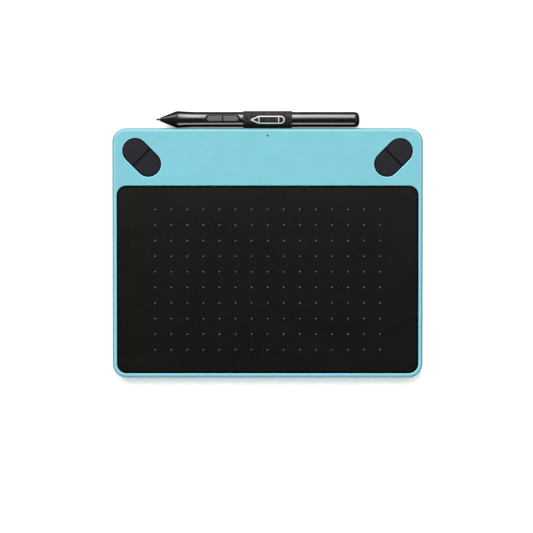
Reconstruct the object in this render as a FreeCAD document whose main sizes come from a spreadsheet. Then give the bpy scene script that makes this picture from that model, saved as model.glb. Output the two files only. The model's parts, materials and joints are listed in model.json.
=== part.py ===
"""A pen drawing tablet with its pen in a woven loop behind it.

The frame has +Z up and +X along the tablet's long side, with the drawer sitting at -Y. The origin is on the
table under the middle of the whole object. Lengths are millimetres. Tablet pieces are drawn about the middle
of the case and moved by their Placement. Pen pieces are drawn about the pen's axis, from the tip at x = 0,
with the side switch at +Z, and then laid behind the case.
"""
import FreeCAD, Part
import math
import os

import Sketcher

SHEET = "Sizes"
NO_LENGTH = 1e-9
# how far apart two heights may be and still count as the same
NEAR = 1e-4
# how far a pad starts inside the material that it joins
MERGE = 0.1
# how far a cut runs past the material that it cuts
BEYOND = 1.0

# name, millimetres (or degrees), meaning
SIZES = [
    ("tablet_width", 210.0, "case, left to right"),
    ("tablet_depth", 169.0, "case, front to back"),
    ("tablet_y", -5.825, "middle of the case from the middle of the whole object"),
    ("corner_radius", 9.5, "corner of the case in plan"),
    ("foot_height", 1.0, "feet below the base"),
    ("case_top", 10.0, "top of the case above the table"),
    ("seam_height", 5.0, "where the two covers meet"),
    ("wall", 1.8, "side wall thickness"),
    ("floor_top", 2.6, "inside of the base"),
    ("ceiling", 8.2, "inside of the top cover"),
    ("top_round", 2.3, "rounding of the top edge"),
    ("base_round", 3.0, "rounding of the bottom edge"),
    ("seam_chamfer", 0.25, "chamfer each side of the seam"),
    ("lip_round", 0.35, "rounding of the lip round the openings in the top"),
    ("sheet_width", 204.5, "opening for the drawing sheet"),
    ("sheet_depth", 127.4, "opening for the drawing sheet"),
    ("sheet_corner", 6.8, "corner of that opening"),
    ("front_rim", 2.95, "rim in front of that opening"),
    ("sheet_gap", 0.35, "clear gap round the drawing sheet"),
    ("sheet_thickness", 0.6, "drawing sheet"),
    ("sheet_floor", 9.3, "shelf that the drawing sheet lies on"),
    ("sheet_chamfer", 0.12, "chamfer round the drawing sheet"),
    ("key_radius", 8.8, "end radius of a pair of keys' opening"),
    ("key_spacing", 12.5, "between the two end centres of that opening"),
    ("key_x", 85.0, "middle of a pair of keys from the case's middle"),
    ("key_y", 64.6, "middle of a pair of keys from the case's middle"),
    ("key_gap", 0.6, "clear gap round the keys"),
    ("key_split", 0.8, "gap between the two keys of a pair"),
    ("key_top", 10.1, "top of the keys above the table"),
    ("key_round", 0.4, "rounding of a key's top edge"),
    ("key_flange", 0.9, "flange beyond the opening, which holds a key in"),
    ("flange_base", 7.5, "underside of a key's flange"),
    ("flange_top", 8.1, "top of a key's flange"),
    ("plunger_radius", 2.0, "post under a key"),
    ("plunger_x", 7.6, "that post from the middle of the pair"),
    ("plunger_base", 6.0, "lower end of that post"),
    ("frame_base", 6.3, "underside of a key frame"),
    ("frame_top", 6.9, "top of a key frame"),
    ("frame_radius", 10.8, "end radius of a key frame"),
    ("guide_gap", 0.15, "clear gap round a moving post or a screw's shank"),
    ("ear_y", 12.3, "a key frame's screw ear from its middle"),
    ("ear_radius", 2.2, "that ear"),
    ("post_radius", 1.3, "post that holds a key frame's screw"),
    ("board_base", 3.4, "underside of the main board"),
    ("board_top", 4.4, "top of the main board"),
    ("board_half", 102.0, "half width of the main board"),
    ("board_rear", 82.0, "rear edge of the main board"),
    ("board_front", 73.0, "front edge of the main board between its wings"),
    ("board_bevel_x", 96.5, "start of the cut corner, from the middle"),
    ("board_bevel_y", 76.0, "end of the cut corner"),
    ("wing_front", 47.0, "front edge of the main board's wings"),
    ("wing_inner", 74.5, "inner edge of those wings"),
    ("board_screw_x", 76.5, "wing screws from the middle"),
    ("board_screw_y", 70.5, "wing screws"),
    ("rear_screw_x", 45.0, "rear board screws from the middle"),
    ("rear_screw_y", 77.5, "rear board screws"),
    ("chip_y", 77.0, "line of the chips"),
    ("switch_side", 4.6, "side of a key's switch"),
    ("switch_corner", 0.4, "corner of that switch"),
    ("switch_top", 5.4, "top of that switch's housing"),
    ("actuator_radius", 1.2, "moving button of that switch"),
    ("actuator_base", 5.1, "lower end of that button"),
    ("switch_travel", 0.55, "room under that button"),
    ("led_y", 79.3, "status light from the case's middle"),
    ("led_radius", 0.6, "hole for the status light"),
    ("pipe_gap", 0.06, "clear gap between the light pipe and its hole"),
    ("pipe_rise", 0.8, "light pipe above the board"),
    ("pipe_radius", 0.8, "light pipe below its collar"),
    ("pipe_collar_height", 0.9, "collar under the top cover"),
    ("chip_led_x", 0.8, "half width of the light chip"),
    ("chip_led_y", 0.5, "half depth of the light chip"),
    ("chip_led_height", 0.6, "light chip"),
    ("usb_y", 51.0, "middle of the data socket from the case's middle"),
    ("usb_width", 7.6, "data socket's shell"),
    ("usb_height", 2.6, "data socket's shell"),
    ("usb_length", 5.6, "data socket's shell"),
    ("usb_inset", 0.6, "socket's mouth behind the case's side"),
    ("usb_wall", 0.3, "data socket's shell thickness"),
    ("usb_slope", 1.1, "sloping lower corners of the shell"),
    ("usb_clear", 0.6, "clear gap round the socket in the case"),
    ("tongue_rise", 1.35, "contact tongue above the bottom of the shell"),
    ("blade_inset", 1.0, "contact tongue behind the mouth"),
    ("blade_half", 1.9, "half width of the contact tongue"),
    ("blade_thickness", 0.55, "contact tongue"),
    ("sensor_width", 172.0, "pen sensing board"),
    ("sensor_front", -74.0, "front edge of that board"),
    ("sensor_rear", 38.0, "rear edge of that board"),
    ("sensor_base", 7.4, "underside of that board"),
    ("sensor_corner", 2.0, "corner of the sensing board and its shield"),
    ("spacer_inset", 1.0, "spacer film inside the shield's edge"),
    ("shield_rear", 28.0, "rear edge of the steel shield under that board"),
    ("shield_base", 6.9, "underside of that shield"),
    ("shield_top", 7.2, "top of that shield"),
    ("rib_x", 56.0, "outer ribs from the middle"),
    ("rib_front", -50.0, "front cross rib"),
    ("rib_rear", 4.0, "rear cross rib"),
    ("rib_inset", 6.0, "ends of the ribs inside the board's edge"),
    ("rib_thickness", 1.2, "ribs under the sensing board"),
    ("ribbon_x", 78.0, "left edge of the ribbon cable"),
    ("ribbon_width", 10.0, "ribbon cable"),
    ("ribbon_thickness", 0.3, "ribbon cable"),
    ("ribbon_upper", 6.55, "underside of the ribbon at the sensing board"),
    ("ribbon_lower", 4.95, "underside of the ribbon at the main board"),
    ("ribbon_front", 35.5, "front end of the ribbon"),
    ("ribbon_rear", 48.5, "rear end of the ribbon"),
    ("ribbon_run", 2.5, "straight end of the ribbon"),
    ("plug_depth", 4.5, "ribbon's connectors"),
    ("plug_height", 1.3, "ribbon's connectors"),
    ("plug_margin", 1.0, "connector beyond the ribbon's edge"),
    ("deck_half", 66.0, "half width of the thick plate round the bays"),
    ("deck_front", 42.8, "front of that plate"),
    ("deck_rear", 72.0, "rear of that plate"),
    ("deck_top", 4.6, "top of that plate"),
    ("tub_base", 2.4, "underside of the bays' tubs"),
    ("tub_top", 7.8, "top of that block"),
    ("tub_wall", 1.0, "side walls of the tubs"),
    ("tub_gap", 0.1, "clear gap round a tub in the plate"),
    ("tub_lip", 1.5, "lip on the front and rear of a tub"),
    ("lip_height", 0.8, "that lip"),
    ("bay_corner", 1.5, "corner of a bay"),
    ("bay_front", 49.0, "front of the bays"),
    ("bay_rear", 68.0, "rear of the bays"),
    ("bay_top", 7.0, "inside of the bays"),
    ("bay_outer", 61.0, "outer end of the battery and radio bays"),
    ("bay_inner", 14.0, "inner end of those bays"),
    ("nib_bay_half", 11.0, "half width of the middle bay, for spare nibs"),
    ("fixture_base", 3.2, "underside of what is fixed in the bays"),
    ("contact_block_depth", 2.0, "block that holds the battery's contacts"),
    ("contacts_left", -45.0, "left end of that block"),
    ("contacts_right", -30.0, "right end of that block"),
    ("contact_pitch", 4.0, "between contacts"),
    ("contact_width", 1.6, "a contact"),
    ("contact_z", 3.9, "lower end of a contact"),
    ("radio_left", 28.0, "left end of the radio's socket"),
    ("radio_right", 47.0, "right end of the radio's socket"),
    ("radio_depth", 3.0, "radio's socket"),
    ("radio_wall", 1.5, "wall round the slot in that socket"),
    ("radio_slot_z", 4.4, "lower side of that slot"),
    ("radio_slot_height", 1.2, "that slot"),
    ("holder_half", 9.5, "half width of the spare nibs' holder"),
    ("holder_inset", 0.5, "that holder behind the front of its bay"),
    ("holder_depth", 9.0, "that holder"),
    ("nib_line", 2.2, "first spare nib behind the front of the bay"),
    ("nib_pitch", 2.8, "between spare nibs"),
    ("nib_line_z", 5.0, "middle of the spare nibs"),
    ("nib_clear", 0.05, "clear gap round a spare nib"),
    ("puller_y", 4.8, "middle of the nib puller in front of the bay's rear"),
    ("puller_outer", 3.8, "nib puller's ring"),
    ("puller_inner", 2.4, "nib puller's ring"),
    ("puller_base", 5.6, "underside of the nib puller"),
    ("puller_height", 1.3, "nib puller"),
    ("puller_jaw", 1.0, "slit in the nib puller"),
    ("lid_half", 64.3, "half width of the bay lid"),
    ("lid_front", 46.7, "hinged edge of the lid"),
    ("lid_rear", 70.3, "free edge of the lid"),
    ("lid_gap", 0.2, "clear gap round the lid"),
    ("lid_top", 2.3, "inside face of the lid"),
    ("lid_corner", 3.0, "corner of the lid"),
    ("lid_chamfer", 0.2, "chamfer round the lid's outer face"),
    ("tab_x", 42.0, "outer hinge tabs from the middle"),
    ("tab_width", 8.0, "lid's hinge tab"),
    ("tab_reach", 1.8, "tab beyond the lid's edge"),
    ("tab_root", 1.6, "tab over the lid"),
    ("tab_base", 1.9, "underside of a tab"),
    ("tab_top", 2.9, "top of a tab"),
    ("tab_swing", 2.75, "room that a tab turns in, each way from the hinged edge"),
    ("slot_top", 3.8, "top of the slot that a tab turns in"),
    ("tongue_half", 6.5, "slits of the lid's spring tongue from the middle"),
    ("tongue_slit", 0.6, "width of those slits"),
    ("tongue_length", 7.0, "length of those slits"),
    ("tongue_y", 3.4, "middle of those slits from the free edge"),
    ("ridge_height", 0.35, "grip ridges on the tongue"),
    ("ridge_width", 0.7, "grip ridges"),
    ("ridge_length", 8.0, "grip ridges"),
    ("ridge_pitch", 1.4, "between grip ridges"),
    ("ridge_y", 2.4, "first ridge from the free edge"),
    ("nail_half", 5.0, "half length of the finger recess behind the lid"),
    ("nail_radius", 3.2, "end radius of that recess"),
    ("nail_y", 0.6, "middle of that recess behind the free edge"),
    ("nail_depth", 0.9, "that recess"),
    ("boss_x", 98.0, "side case screws from the middle"),
    ("boss_front", -77.0, "front case screws"),
    ("boss_side", 30.0, "side case screws"),
    ("boss_rear_x", 69.5, "rear case screws from the middle"),
    ("boss_rear", 68.5, "rear case screws"),
    ("boss_radius", 2.8, "top cover's screw boss"),
    ("boss_base", 3.8, "where that boss meets the base's post"),
    ("boss_end", 0.4, "material left at the end of a boss's hole"),
    ("case_pilot", 1.0, "hole for a case screw in its boss"),
    ("case_post_radius", 3.9, "base's post for a case screw"),
    ("board_post_radius", 2.0, "base's post for a board screw"),
    ("head_radius", 2.1, "case screw's head"),
    ("head_base", 1.5, "outer face of that head"),
    ("head_top", 2.8, "inner face of that head"),
    ("head_gap", 0.5, "clear gap round that head"),
    ("head_round", 0.5, "rounding of that head"),
    ("shank_radius", 0.95, "case screw's shank"),
    ("shank_length", 4.6, "case screw's shank"),
    ("shank_gap", 0.35, "clear gap round that shank in the base"),
    ("cross_width", 0.5, "arm of the cross in a screw's head"),
    ("cross_depth", 0.7, "cross in a case screw's head"),
    ("small_head", 1.5, "small screw's head"),
    ("small_head_height", 0.85, "small screw's head"),
    ("small_shank", 0.65, "small screw's shank"),
    ("small_shank_length", 2.3, "small screw's shank"),
    ("small_pilot", 0.7, "hole for a small screw"),
    ("pilot_depth", 1.8, "that hole"),
    ("foot_half", 11.0, "half length of a foot"),
    ("foot_radius", 3.5, "end radius of a foot"),
    ("foot_x", 82.0, "foot from the middle"),
    ("foot_front", -77.0, "front feet"),
    ("foot_rear", 77.0, "rear feet"),
    ("foot_sunk", 0.6, "depth of a foot's recess"),
    ("foot_gap", 0.1, "clear gap round a foot"),
    ("foot_round", 0.4, "rounding of a foot's face"),
    ("label_width", 70.0, "recess for a label in the base"),
    ("label_depth", 30.0, "recess for a label in the base"),
    ("label_corner", 2.0, "corner of that recess"),
    ("label_y", -20.0, "middle of that recess"),
    ("label_sunk", 0.3, "depth of that recess"),
    ("loop_width", 33.2, "woven loop along the pen"),
    ("loop_inner", 5.2, "inside radius of the loop"),
    ("loop_thickness", 0.55, "one layer of webbing"),
    ("tail_base", 6.2, "underside of the loop's tail"),
    ("tail_front", 76.5, "inner end of the loop's tail"),
    ("tail_notch", 3.2, "half width of the notch in the tail for the status light"),
    ("notch_gap", 0.3, "clear gap beside the tail, its clamps and the notch"),
    ("clamp_base", 5.4, "underside of the loop's clamps"),
    ("clamp_gap", 0.1, "clear gap under the tail in the slot"),
    ("clamp_corner", 0.5, "corner of a clamp"),
    ("clamp_screw_x", 10.0, "loop's clamp screws from the middle"),
    ("clamp_screw_y", 79.4, "loop's clamp screws from the case's middle"),
    ("pen_length", 137.5, "tip to rear end"),
    ("pen_radius", 5.1, "barrel"),
    ("pen_x", -75.4, "tip of the pen"),
    ("pen_gap", 5.9, "pen's axis behind the case"),
    ("pen_z", 6.0, "pen's axis above the table"),
    ("pen_roll", -5.0, "turn of the side switch about the axis, in degrees"),
    ("flare_radius", 5.7, "widest part of the barrel"),
    ("flare_x", 15.0, "widest part from the tip"),
    ("waist_x", 30.0, "where the barrel becomes straight"),
    ("cone_end", 13.5, "seam between nose cone and barrel"),
    ("cone_tip", 2.7, "front of the nose cone"),
    ("cone_tip_radius", 1.3, "front of the nose cone"),
    ("cone_end_radius", 5.53, "rear of the nose cone"),
    ("spigot_radius", 4.55, "nose cone's spigot in the barrel"),
    ("spigot_end", 18.4, "end of that spigot"),
    ("spigot_gap", 0.03, "clear gap round that spigot"),
    ("spigot_play", 0.2, "clear gap behind that spigot"),
    ("seam_drop", 0.2, "barrel's edge rounds down at the seam"),
    ("seam_run", 0.3, "length of that rounding"),
    ("nose_bore_end", 7.4, "end of the close bore round the nib"),
    ("nose_well", 9.4, "front of the wide bore in the cone"),
    ("nose_well_radius", 3.2, "that wide bore"),
    ("end_round", 3.2, "rounding of the pen's rear end"),
    ("end_wall", 1.2, "wall at the pen's rear end"),
    ("bore_radius", 4.2, "inside of the barrel"),
    ("nib_radius", 0.8, "nib"),
    ("nib_length", 20.0, "nib"),
    ("nib_gap", 0.12, "clear gap round the nib in the cone"),
    ("core_gap", 0.2, "clear gap round the nib in the ferrite core"),
    ("core_start", 9.6, "front of the ferrite core"),
    ("core_end", 19.0, "rear of the ferrite core"),
    ("core_radius", 1.9, "ferrite core"),
    ("coil_radius", 2.9, "coil on that core"),
    ("coil_start", 10.2, "front of the coil"),
    ("coil_end", 17.6, "rear of the coil"),
    ("gauge_radius", 3.6, "pressure gauge"),
    ("gauge_x", 19.5, "front of the pressure gauge"),
    ("gauge_floor", 21.8, "bottom of the well for the nib's end"),
    ("gauge_end", 26.0, "rear of the pressure gauge"),
    ("carrier_inner", 3.65, "inside of the pen's carrier"),
    ("carrier_outer", 4.1, "outside of the pen's carrier"),
    ("carrier_x", 19.2, "front of the carrier"),
    ("carrier_end", 100.0, "rear of the carrier"),
    ("cheek_inner", 2.1, "inside of the cheeks that hold the pivot"),
    ("cheek_outer", 2.7, "outside of those cheeks"),
    ("cheek_half", 1.2, "half length of those cheeks"),
    ("cheek_base", -2.6, "lower end of those cheeks"),
    ("cheek_top", 2.9, "top of those cheeks"),
    ("cheek_gap", 0.2, "clear gap before and behind those cheeks in the board"),
    ("pen_board_x", 27.0, "front of the pen's board"),
    ("pen_board_end", 78.0, "rear of the pen's board"),
    ("pen_board_half", 4.0, "half width of the pen's board"),
    ("pen_board_top", 0.8, "top of the pen's board"),
    ("pen_switch_x", 3.2, "switch on the pen's board"),
    ("pen_switch_y", 2.6, "switch on the pen's board"),
    ("pen_switch_height", 0.9, "that switch's housing"),
    ("pen_button_radius", 0.6, "that switch's button"),
    ("pen_button_height", 1.2, "top of that switch's button"),
    ("rocker_x", 45.0, "middle of the side switch"),
    ("rocker_half", 11.2, "half length of the side switch"),
    ("rocker_side", 1.9, "half width of the side switch"),
    ("rocker_base", 3.7, "underside of the side switch"),
    ("rocker_top", 5.5, "top of the side switch"),
    ("rocker_gap", 0.6, "clear gap round the side switch"),
    ("rocker_round", 0.55, "rounding of the side switch's top edge"),
    ("slot_floor", 2.0, "lower side of the cut for the side switch"),
    ("groove_width", 0.9, "groove across the middle of the side switch"),
    ("groove_depth", 0.6, "that groove"),
    ("web_thickness", 1.6, "web between the side switch and its pivot"),
    ("web_width", 3.6, "that web"),
    ("pivot_z", 2.0, "side switch's pivot above the pen's axis"),
    ("pivot_radius", 0.5, "side switch's pivot pin"),
    ("pivot_gap", 0.05, "clear gap round that pin"),
    ("pin_length", 5.2, "that pin"),
    ("stem_x", 7.0, "side switch's two stems from its middle"),
    ("stem_radius", 0.8, "those stems"),
    ("stem_base", 2.45, "lower end of those stems"),
]

doc = FreeCAD.newDocument("pen_tablet")
sheet = doc.addObject("Spreadsheet::Sheet", SHEET)
for row, (alias, value, meaning) in enumerate(SIZES, start=1):
    sheet.set(f"A{row}", meaning)
    sheet.set(f"B{row}", str(value))
    sheet.setAlias(f"B{row}", alias)
doc.recompute()


class Dim:
    """A length worked out from the sheet: its value now and the expression that keeps it up to date."""

    def __init__(self, text, value, fixed=False):
        self.text = text
        self.value = value
        self.fixed = fixed

    def join(self, sign, other, value):
        return Dim(f"({self.text} {sign} {other.text})", value, self.fixed and other.fixed)

    def __add__(self, other):
        other = dim(other)
        return self.join("+", other, self.value + other.value)

    def __sub__(self, other):
        other = dim(other)
        return self.join("-", other, self.value - other.value)

    def __mul__(self, other):
        other = dim(other)
        return self.join("*", other, self.value * other.value)

    def __truediv__(self, other):
        other = dim(other)
        return self.join("/", other, self.value / other.value)

    def __neg__(self):
        return self * -1

    __radd__ = __add__
    __rmul__ = __mul__

    def __rsub__(self, other):
        return dim(other) - self


def dim(thing):
    """A Dim from a sheet's alias, a plain number or a Dim."""
    if isinstance(thing, Dim):
        return thing
    if isinstance(thing, str):
        return Dim(f"{SHEET}.{thing}", float(sheet.get(thing)))
    return Dim(repr(float(thing)), float(thing), fixed=True)


def bind(thing, prop, length):
    """Ties a property of an object to a Dim."""
    thing.setExpression(prop, dim(length).text)


class Profile:
    """A sketch on one of its body's origin planes, with every point tied to the sheet.

    at moves the sketch in its plane, level lifts it off the plane and turn rotates it, in degrees.
    """

    def __init__(self, body, plane="XY_Plane", level=0, at=(0, 0), turn=0):
        self.sketch = body.newObject("Sketcher::SketchObject", body.Label + "_sketch")
        origin = [f for f in body.Origin.OriginFeatures if f.Role == plane][0]
        self.sketch.AttachmentSupport = [(origin, "")]
        self.sketch.MapMode = "FlatFace"
        offset = FreeCAD.Placement()
        offset.Rotation = FreeCAD.Rotation(FreeCAD.Vector(0, 0, 1), turn)
        self.sketch.AttachmentOffset = offset
        for axis, length in zip("xyz", (*at, level)):
            bind(self.sketch, f".AttachmentOffset.Base.{axis}", length)
        self.body = body

    def hold(self, kind, number, corner, length):
        """Ties one coordinate of a point of the geometry to a Dim."""
        made = self.sketch.addConstraint(
            Sketcher.Constraint(kind, -1, 1, number, corner, length.value)
        )
        if not length.fixed:
            bind(self.sketch, f"Constraints[{made}]", length)

    def outline(self, points, centres=None):
        """A closed outline through points. centres gives the middle of the arc after a point, by index."""
        points = [(dim(x), dim(y)) for x, y in points]
        centres = {k: (dim(c[0]), dim(c[1]), c[2]) for k, c in (centres or {}).items()}
        flat = [FreeCAD.Vector(x.value, y.value, 0) for x, y in points]
        first = len(self.sketch.Geometry)
        starts = []
        for k, start in enumerate(flat):
            end = flat[(k + 1) % len(flat)]
            if k in centres:
                cx, cy, turns_left = centres[k]
                starts.append(self.arc(start, end, cx, cy, turns_left))
            else:
                self.sketch.addGeometry(Part.LineSegment(start, end))
                starts.append(1)
        count = len(flat)
        for k in range(count):
            follower = (k + 1) % count
            ends = (first + k, 3 - starts[k], first + follower, starts[follower])
            self.sketch.addConstraint(Sketcher.Constraint("Coincident", *ends))
        for k, (x, y) in enumerate(points):
            self.hold("DistanceX", first + k, starts[k], x)
            self.hold("DistanceY", first + k, starts[k], y)
        for k, (cx, cy, _) in centres.items():
            chord = flat[(k + 1) % count] - flat[k]
            if abs(chord.y) > abs(chord.x):
                self.hold("DistanceX", first + k, 3, cx)
            else:
                self.hold("DistanceY", first + k, 3, cy)
        return self

    def arc(self, start, end, cx, cy, turns_left):
        """Adds the arc and returns which of its ends, 1 or 2, is the outline's start."""
        middle = FreeCAD.Vector(cx.value, cy.value, 0)
        circle = Part.Circle(middle, FreeCAD.Vector(0, 0, 1), (start - middle).Length)
        low, high = (start, end) if turns_left else (end, start)
        first = math.atan2(low.y - middle.y, low.x - middle.x)
        last = math.atan2(high.y - middle.y, high.x - middle.x)
        if last <= first:
            last += 2 * math.pi
        self.sketch.addGeometry(Part.ArcOfCircle(circle, first, last))
        return 1 if turns_left else 2

    def rectangle(self, left, front, right, rear, radius=0):
        """A rectangle between two corners, with rounded corners if radius isn't 0."""
        left, front, right, rear, r = (dim(v) for v in (left, front, right, rear, radius))
        if r.value < NO_LENGTH:
            return self.outline([(left, front), (right, front), (right, rear), (left, rear)])
        points = [
            (left + r, front), (right - r, front), (right, front + r), (right, rear - r),
            (right - r, rear), (left + r, rear), (left, rear - r), (left, front + r),
        ]
        centres = {
            1: (right - r, front + r, True),
            3: (right - r, rear - r, True),
            5: (left + r, rear - r, True),
            7: (left + r, front + r, True),
        }
        return self.outline(points, centres)

    def slab(self, width, depth, radius=0, x=0, y=0):
        """A rectangle about a middle point."""
        x, y, width, depth = dim(x), dim(y), dim(width), dim(depth)
        return self.rectangle(x - width / 2, y - depth / 2, x + width / 2, y + depth / 2, radius)

    def stadium(self, half, radius, x=0, y=0):
        """A slot shape with round ends, half long to each end centre, lying along x."""
        x, y, half, radius = dim(x), dim(y), dim(half), dim(radius)
        points = [
            (x - half, y - radius), (x + half, y - radius),
            (x + half, y + radius), (x - half, y + radius),
        ]
        return self.outline(points, {1: (x + half, y, True), 3: (x - half, y, True)})

    def circle(self, x, y, radius):
        x, y, radius = dim(x), dim(y), dim(radius)
        shape = Part.Circle(FreeCAD.Vector(x.value, y.value, 0), FreeCAD.Vector(0, 0, 1), radius.value)
        number = self.sketch.addGeometry(shape)
        self.hold("DistanceX", number, 3, x)
        self.hold("DistanceY", number, 3, y)
        made = self.sketch.addConstraint(Sketcher.Constraint("Radius", number, radius.value))
        if not radius.fixed:
            bind(self.sketch, f"Constraints[{made}]", radius)
        return self

    def volume_before(self):
        doc.recompute()
        tip = self.body.Tip
        return tip.Shape.Volume if tip is not None and not tip.Shape.isNull() else 0.0

    def feature(self, kind, prop, amount):
        made = self.body.newObject(kind, f"{self.body.Label}_{kind.split('::')[1].lower()}")
        made.Profile = self.sketch
        if amount is not None:
            bind(made, prop, amount)
        return made

    def pad(self, height, both_ways=False):
        """Adds material above the sketch, or half of it each way."""
        made = self.feature("PartDesign::Pad", "Length", height)
        made.Midplane = both_ways
        return made

    def cut(self, height):
        """Removes the material above the sketch, up to that height."""
        before = self.volume_before()
        made = self.feature("PartDesign::Pocket", "Length", height)
        made.Reversed = True
        return self.proved_to_cut(made, before)

    def revolve(self):
        """Turns the outline about the sketch's own x axis."""
        made = self.feature("PartDesign::Revolution", "", None)
        made.ReferenceAxis = (self.sketch, ["H_Axis"])
        made.Angle = 360
        return made

    def proved_to_cut(self, made, before):
        doc.recompute()
        if not made.Shape.Volume < before - NO_LENGTH:
            raise RuntimeError(f"{made.Name} removed nothing from {self.body.Label}")
        return made


def dress(body, kind, size, wanted):
    """A fillet or chamfer on the edges of the body's last feature that wanted(edge) picks."""
    doc.recompute()
    base = body.Tip
    names = [f"Edge{n}" for n, edge in enumerate(base.Shape.Edges, start=1) if wanted(edge)]
    if not names:
        raise RuntimeError(f"no edge of {body.Label} was picked for its {kind}")
    made = body.newObject(f"PartDesign::{kind}", f"{body.Label}_{kind.lower()}")
    made.Base = (base, names)
    bind(made, "Radius" if kind == "Fillet" else "Size", size)
    return made


def flat_at(height):
    """Picks edges that lie flat at a height."""
    level = dim(height).value

    def wanted(edge):
        box = edge.BoundBox
        return abs(box.ZMin - level) < NEAR and abs(box.ZMax - level) < NEAR

    return wanted


parts = []


def new_body(label, kept=True):
    """A body with its own name; kept ones are written out."""
    body = doc.addObject("PartDesign::Body", label)
    body.Label = label
    if kept:
        parts.append(body)
    return body


def tablet_body(label, kept=True):
    """A body drawn about the middle of the case."""
    body = new_body(label, kept)
    bind(body, ".Placement.Base.y", "tablet_y")
    return body


def pen_body(label):
    """A body drawn about the pen's axis, from the tip."""
    body = new_body(label)
    body.Placement = pen_placement()
    return body


def pen_placement(x=0):
    """Where the pen lies: behind the case, with its side switch rolled towards the back.

    x is a distance along the pen from its tip.
    """
    y = dim("tablet_y") + HALF_DEPTH + "pen_gap"
    place = FreeCAD.Vector((dim("pen_x") + x).value, y.value, dim("pen_z").value)
    return FreeCAD.Placement(place, FreeCAD.Rotation(FreeCAD.Vector(1, 0, 0), dim("pen_roll").value))


def on_case(x, y, z=0.0, turn=0.0):
    """A placement about the middle of the case."""
    place = FreeCAD.Vector(dim(x).value, dim(y).value + dim("tablet_y").value, dim(z).value)
    return FreeCAD.Placement(place, FreeCAD.Rotation(FreeCAD.Vector(0, 0, 1), turn))


def group(label, placed):
    """One node of several solids: each body's shape, moved by the placement paired with it."""
    doc.recompute()
    made = doc.addObject("Part::Feature", label)
    made.Label = label
    solids = []
    for master, place in placed:
        solid = master.Shape.copy()
        solid.Placement = place.multiply(solid.Placement)
        solids.append(solid)
    made.Shape = Part.makeCompound(solids)
    parts.append(made)


def block(label, left, front, base, right, rear, top, radius=0, kept=True):
    """A tablet body that is one rectangular block."""
    body = tablet_body(label, kept)
    Profile(body, level=base).rectangle(left, front, right, rear, radius).pad(dim(top) - base)
    return body


def mirrored(near, far, side):
    """Two distances from the middle plane, as left and right on one side of it (-1 or 1)."""
    near, far = side * dim(near), side * dim(far)
    return (near, far) if side > 0 else (far, near)


HALF_WIDTH = dim("tablet_width") / 2
HALF_DEPTH = dim("tablet_depth") / 2
SIDES = (-1, 1)
CASE_SCREWS = [
    (side * dim(x), dim(y))
    for x, y in (("boss_x", "boss_front"), ("boss_x", "boss_side"), ("boss_rear_x", "boss_rear"))
    for side in SIDES
]
BOARD_SCREWS = [
    (side * dim(x), dim(y))
    for x, y in (("board_screw_x", "board_screw_y"), ("rear_screw_x", "rear_screw_y"))
    for side in SIDES
]
# a pair's name, its side of the case and the way its opening turns, in degrees
KEY_PAIRS = [("left", -1, -45.0), ("right", 1, 45.0)]
# a key's name, its pair's side of the case, and the way it points from the middle of the pair, in degrees
KEYS = [
    ("left_outer", -1, 135.0),
    ("left_inner", -1, -45.0),
    ("right_outer", 1, 45.0),
    ("right_inner", 1, -135.0),
]
FEET = [
    (f"foot_{row}_{name}", side * dim("foot_x"), dim(f"foot_{row}"))
    for row in ("front", "rear")
    for name, side in (("left", -1), ("right", 1))
]
# a tub's name and the left and right ends of its bay
BAYS = [
    ("battery_tub", -dim("bay_outer"), -dim("bay_inner")),
    ("spare_nib_tub", -dim("nib_bay_half"), dim("nib_bay_half")),
    ("radio_tub", dim("bay_inner"), dim("bay_outer")),
]
TABS = [-dim("tab_x"), dim(0), dim("tab_x")]
TAIL_TOP = dim("tail_base") + dim("loop_thickness") * 2
USB_TOP = dim("board_top") + "usb_height"
NIB_LINES = [dim("bay_front") + "nib_line" + dim("nib_pitch") * k for k in range(3)]
# a contact's bent strip seen from its side: away from the wall, and up
CONTACT_STRIP = [
    (0, 0), (0, 0.3), (-0.9, 0.6), (-1.2, 1.3), (-0.9, 2.0),
    (0, 2.3), (0, 2.6), (-1.1, 2.2), (-1.5, 1.3), (-1.1, 0.4),
]
# a chip's side and height, and where it is on the main board
CHIPS = [
    (6, 0.9, -28), (3.5, 0.8, -20), (3.5, 0.8, 30), (6, 0.9, 60), (3.5, 0.8, -60),
]


def sheet_corners(shrink):
    """The drawing sheet's opening, shrunk on every side, as rectangle()'s arguments."""
    half = dim("sheet_width") / 2 - shrink
    front = dim("front_rim") - HALF_DEPTH
    return (
        -half, front + shrink, half, front + "sheet_depth" - shrink,
        dim("sheet_corner") - shrink,
    )


def hollow_case(body, low, high):
    """Removes the inside of the case between two heights, and leaves its side walls."""
    inner = Profile(body, level=low)
    wall = dim("wall")
    inner.slab(HALF_WIDTH * 2 - wall * 2, HALF_DEPTH * 2 - wall * 2, dim("corner_radius") - wall)
    inner.cut(dim(high) - low)


def top_cover():
    """The coloured upper shell: shelf for the drawing sheet, key openings, bosses and loop slot."""
    body = tablet_body("top_cover")
    seam, ceiling, top = dim("seam_height"), dim("ceiling"), dim("case_top")
    through = top - ceiling + 2 * BEYOND
    Profile(body, level=seam).slab("tablet_width", "tablet_depth", "corner_radius").pad(top - seam)
    dress(body, "Fillet", "top_round", flat_at(top))
    dress(body, "Chamfer", "seam_chamfer", flat_at(seam))
    hollow_case(body, seam, ceiling)
    Profile(body, level="sheet_floor").rectangle(*sheet_corners(0)).cut(top - "sheet_floor" + BEYOND)
    for _, side, turn in KEY_PAIRS:
        opening = Profile(body, level=ceiling - BEYOND, at=(side * dim("key_x"), "key_y"), turn=turn)
        opening.stadium(dim("key_spacing") / 2, "key_radius").cut(through)
    Profile(body, level=ceiling - BEYOND).circle(0, "led_y", "led_radius").cut(through)
    cover_bosses(body)
    cover_side_openings(body)
    dress(body, "Fillet", "lip_round", inner_rim_edges)


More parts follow.
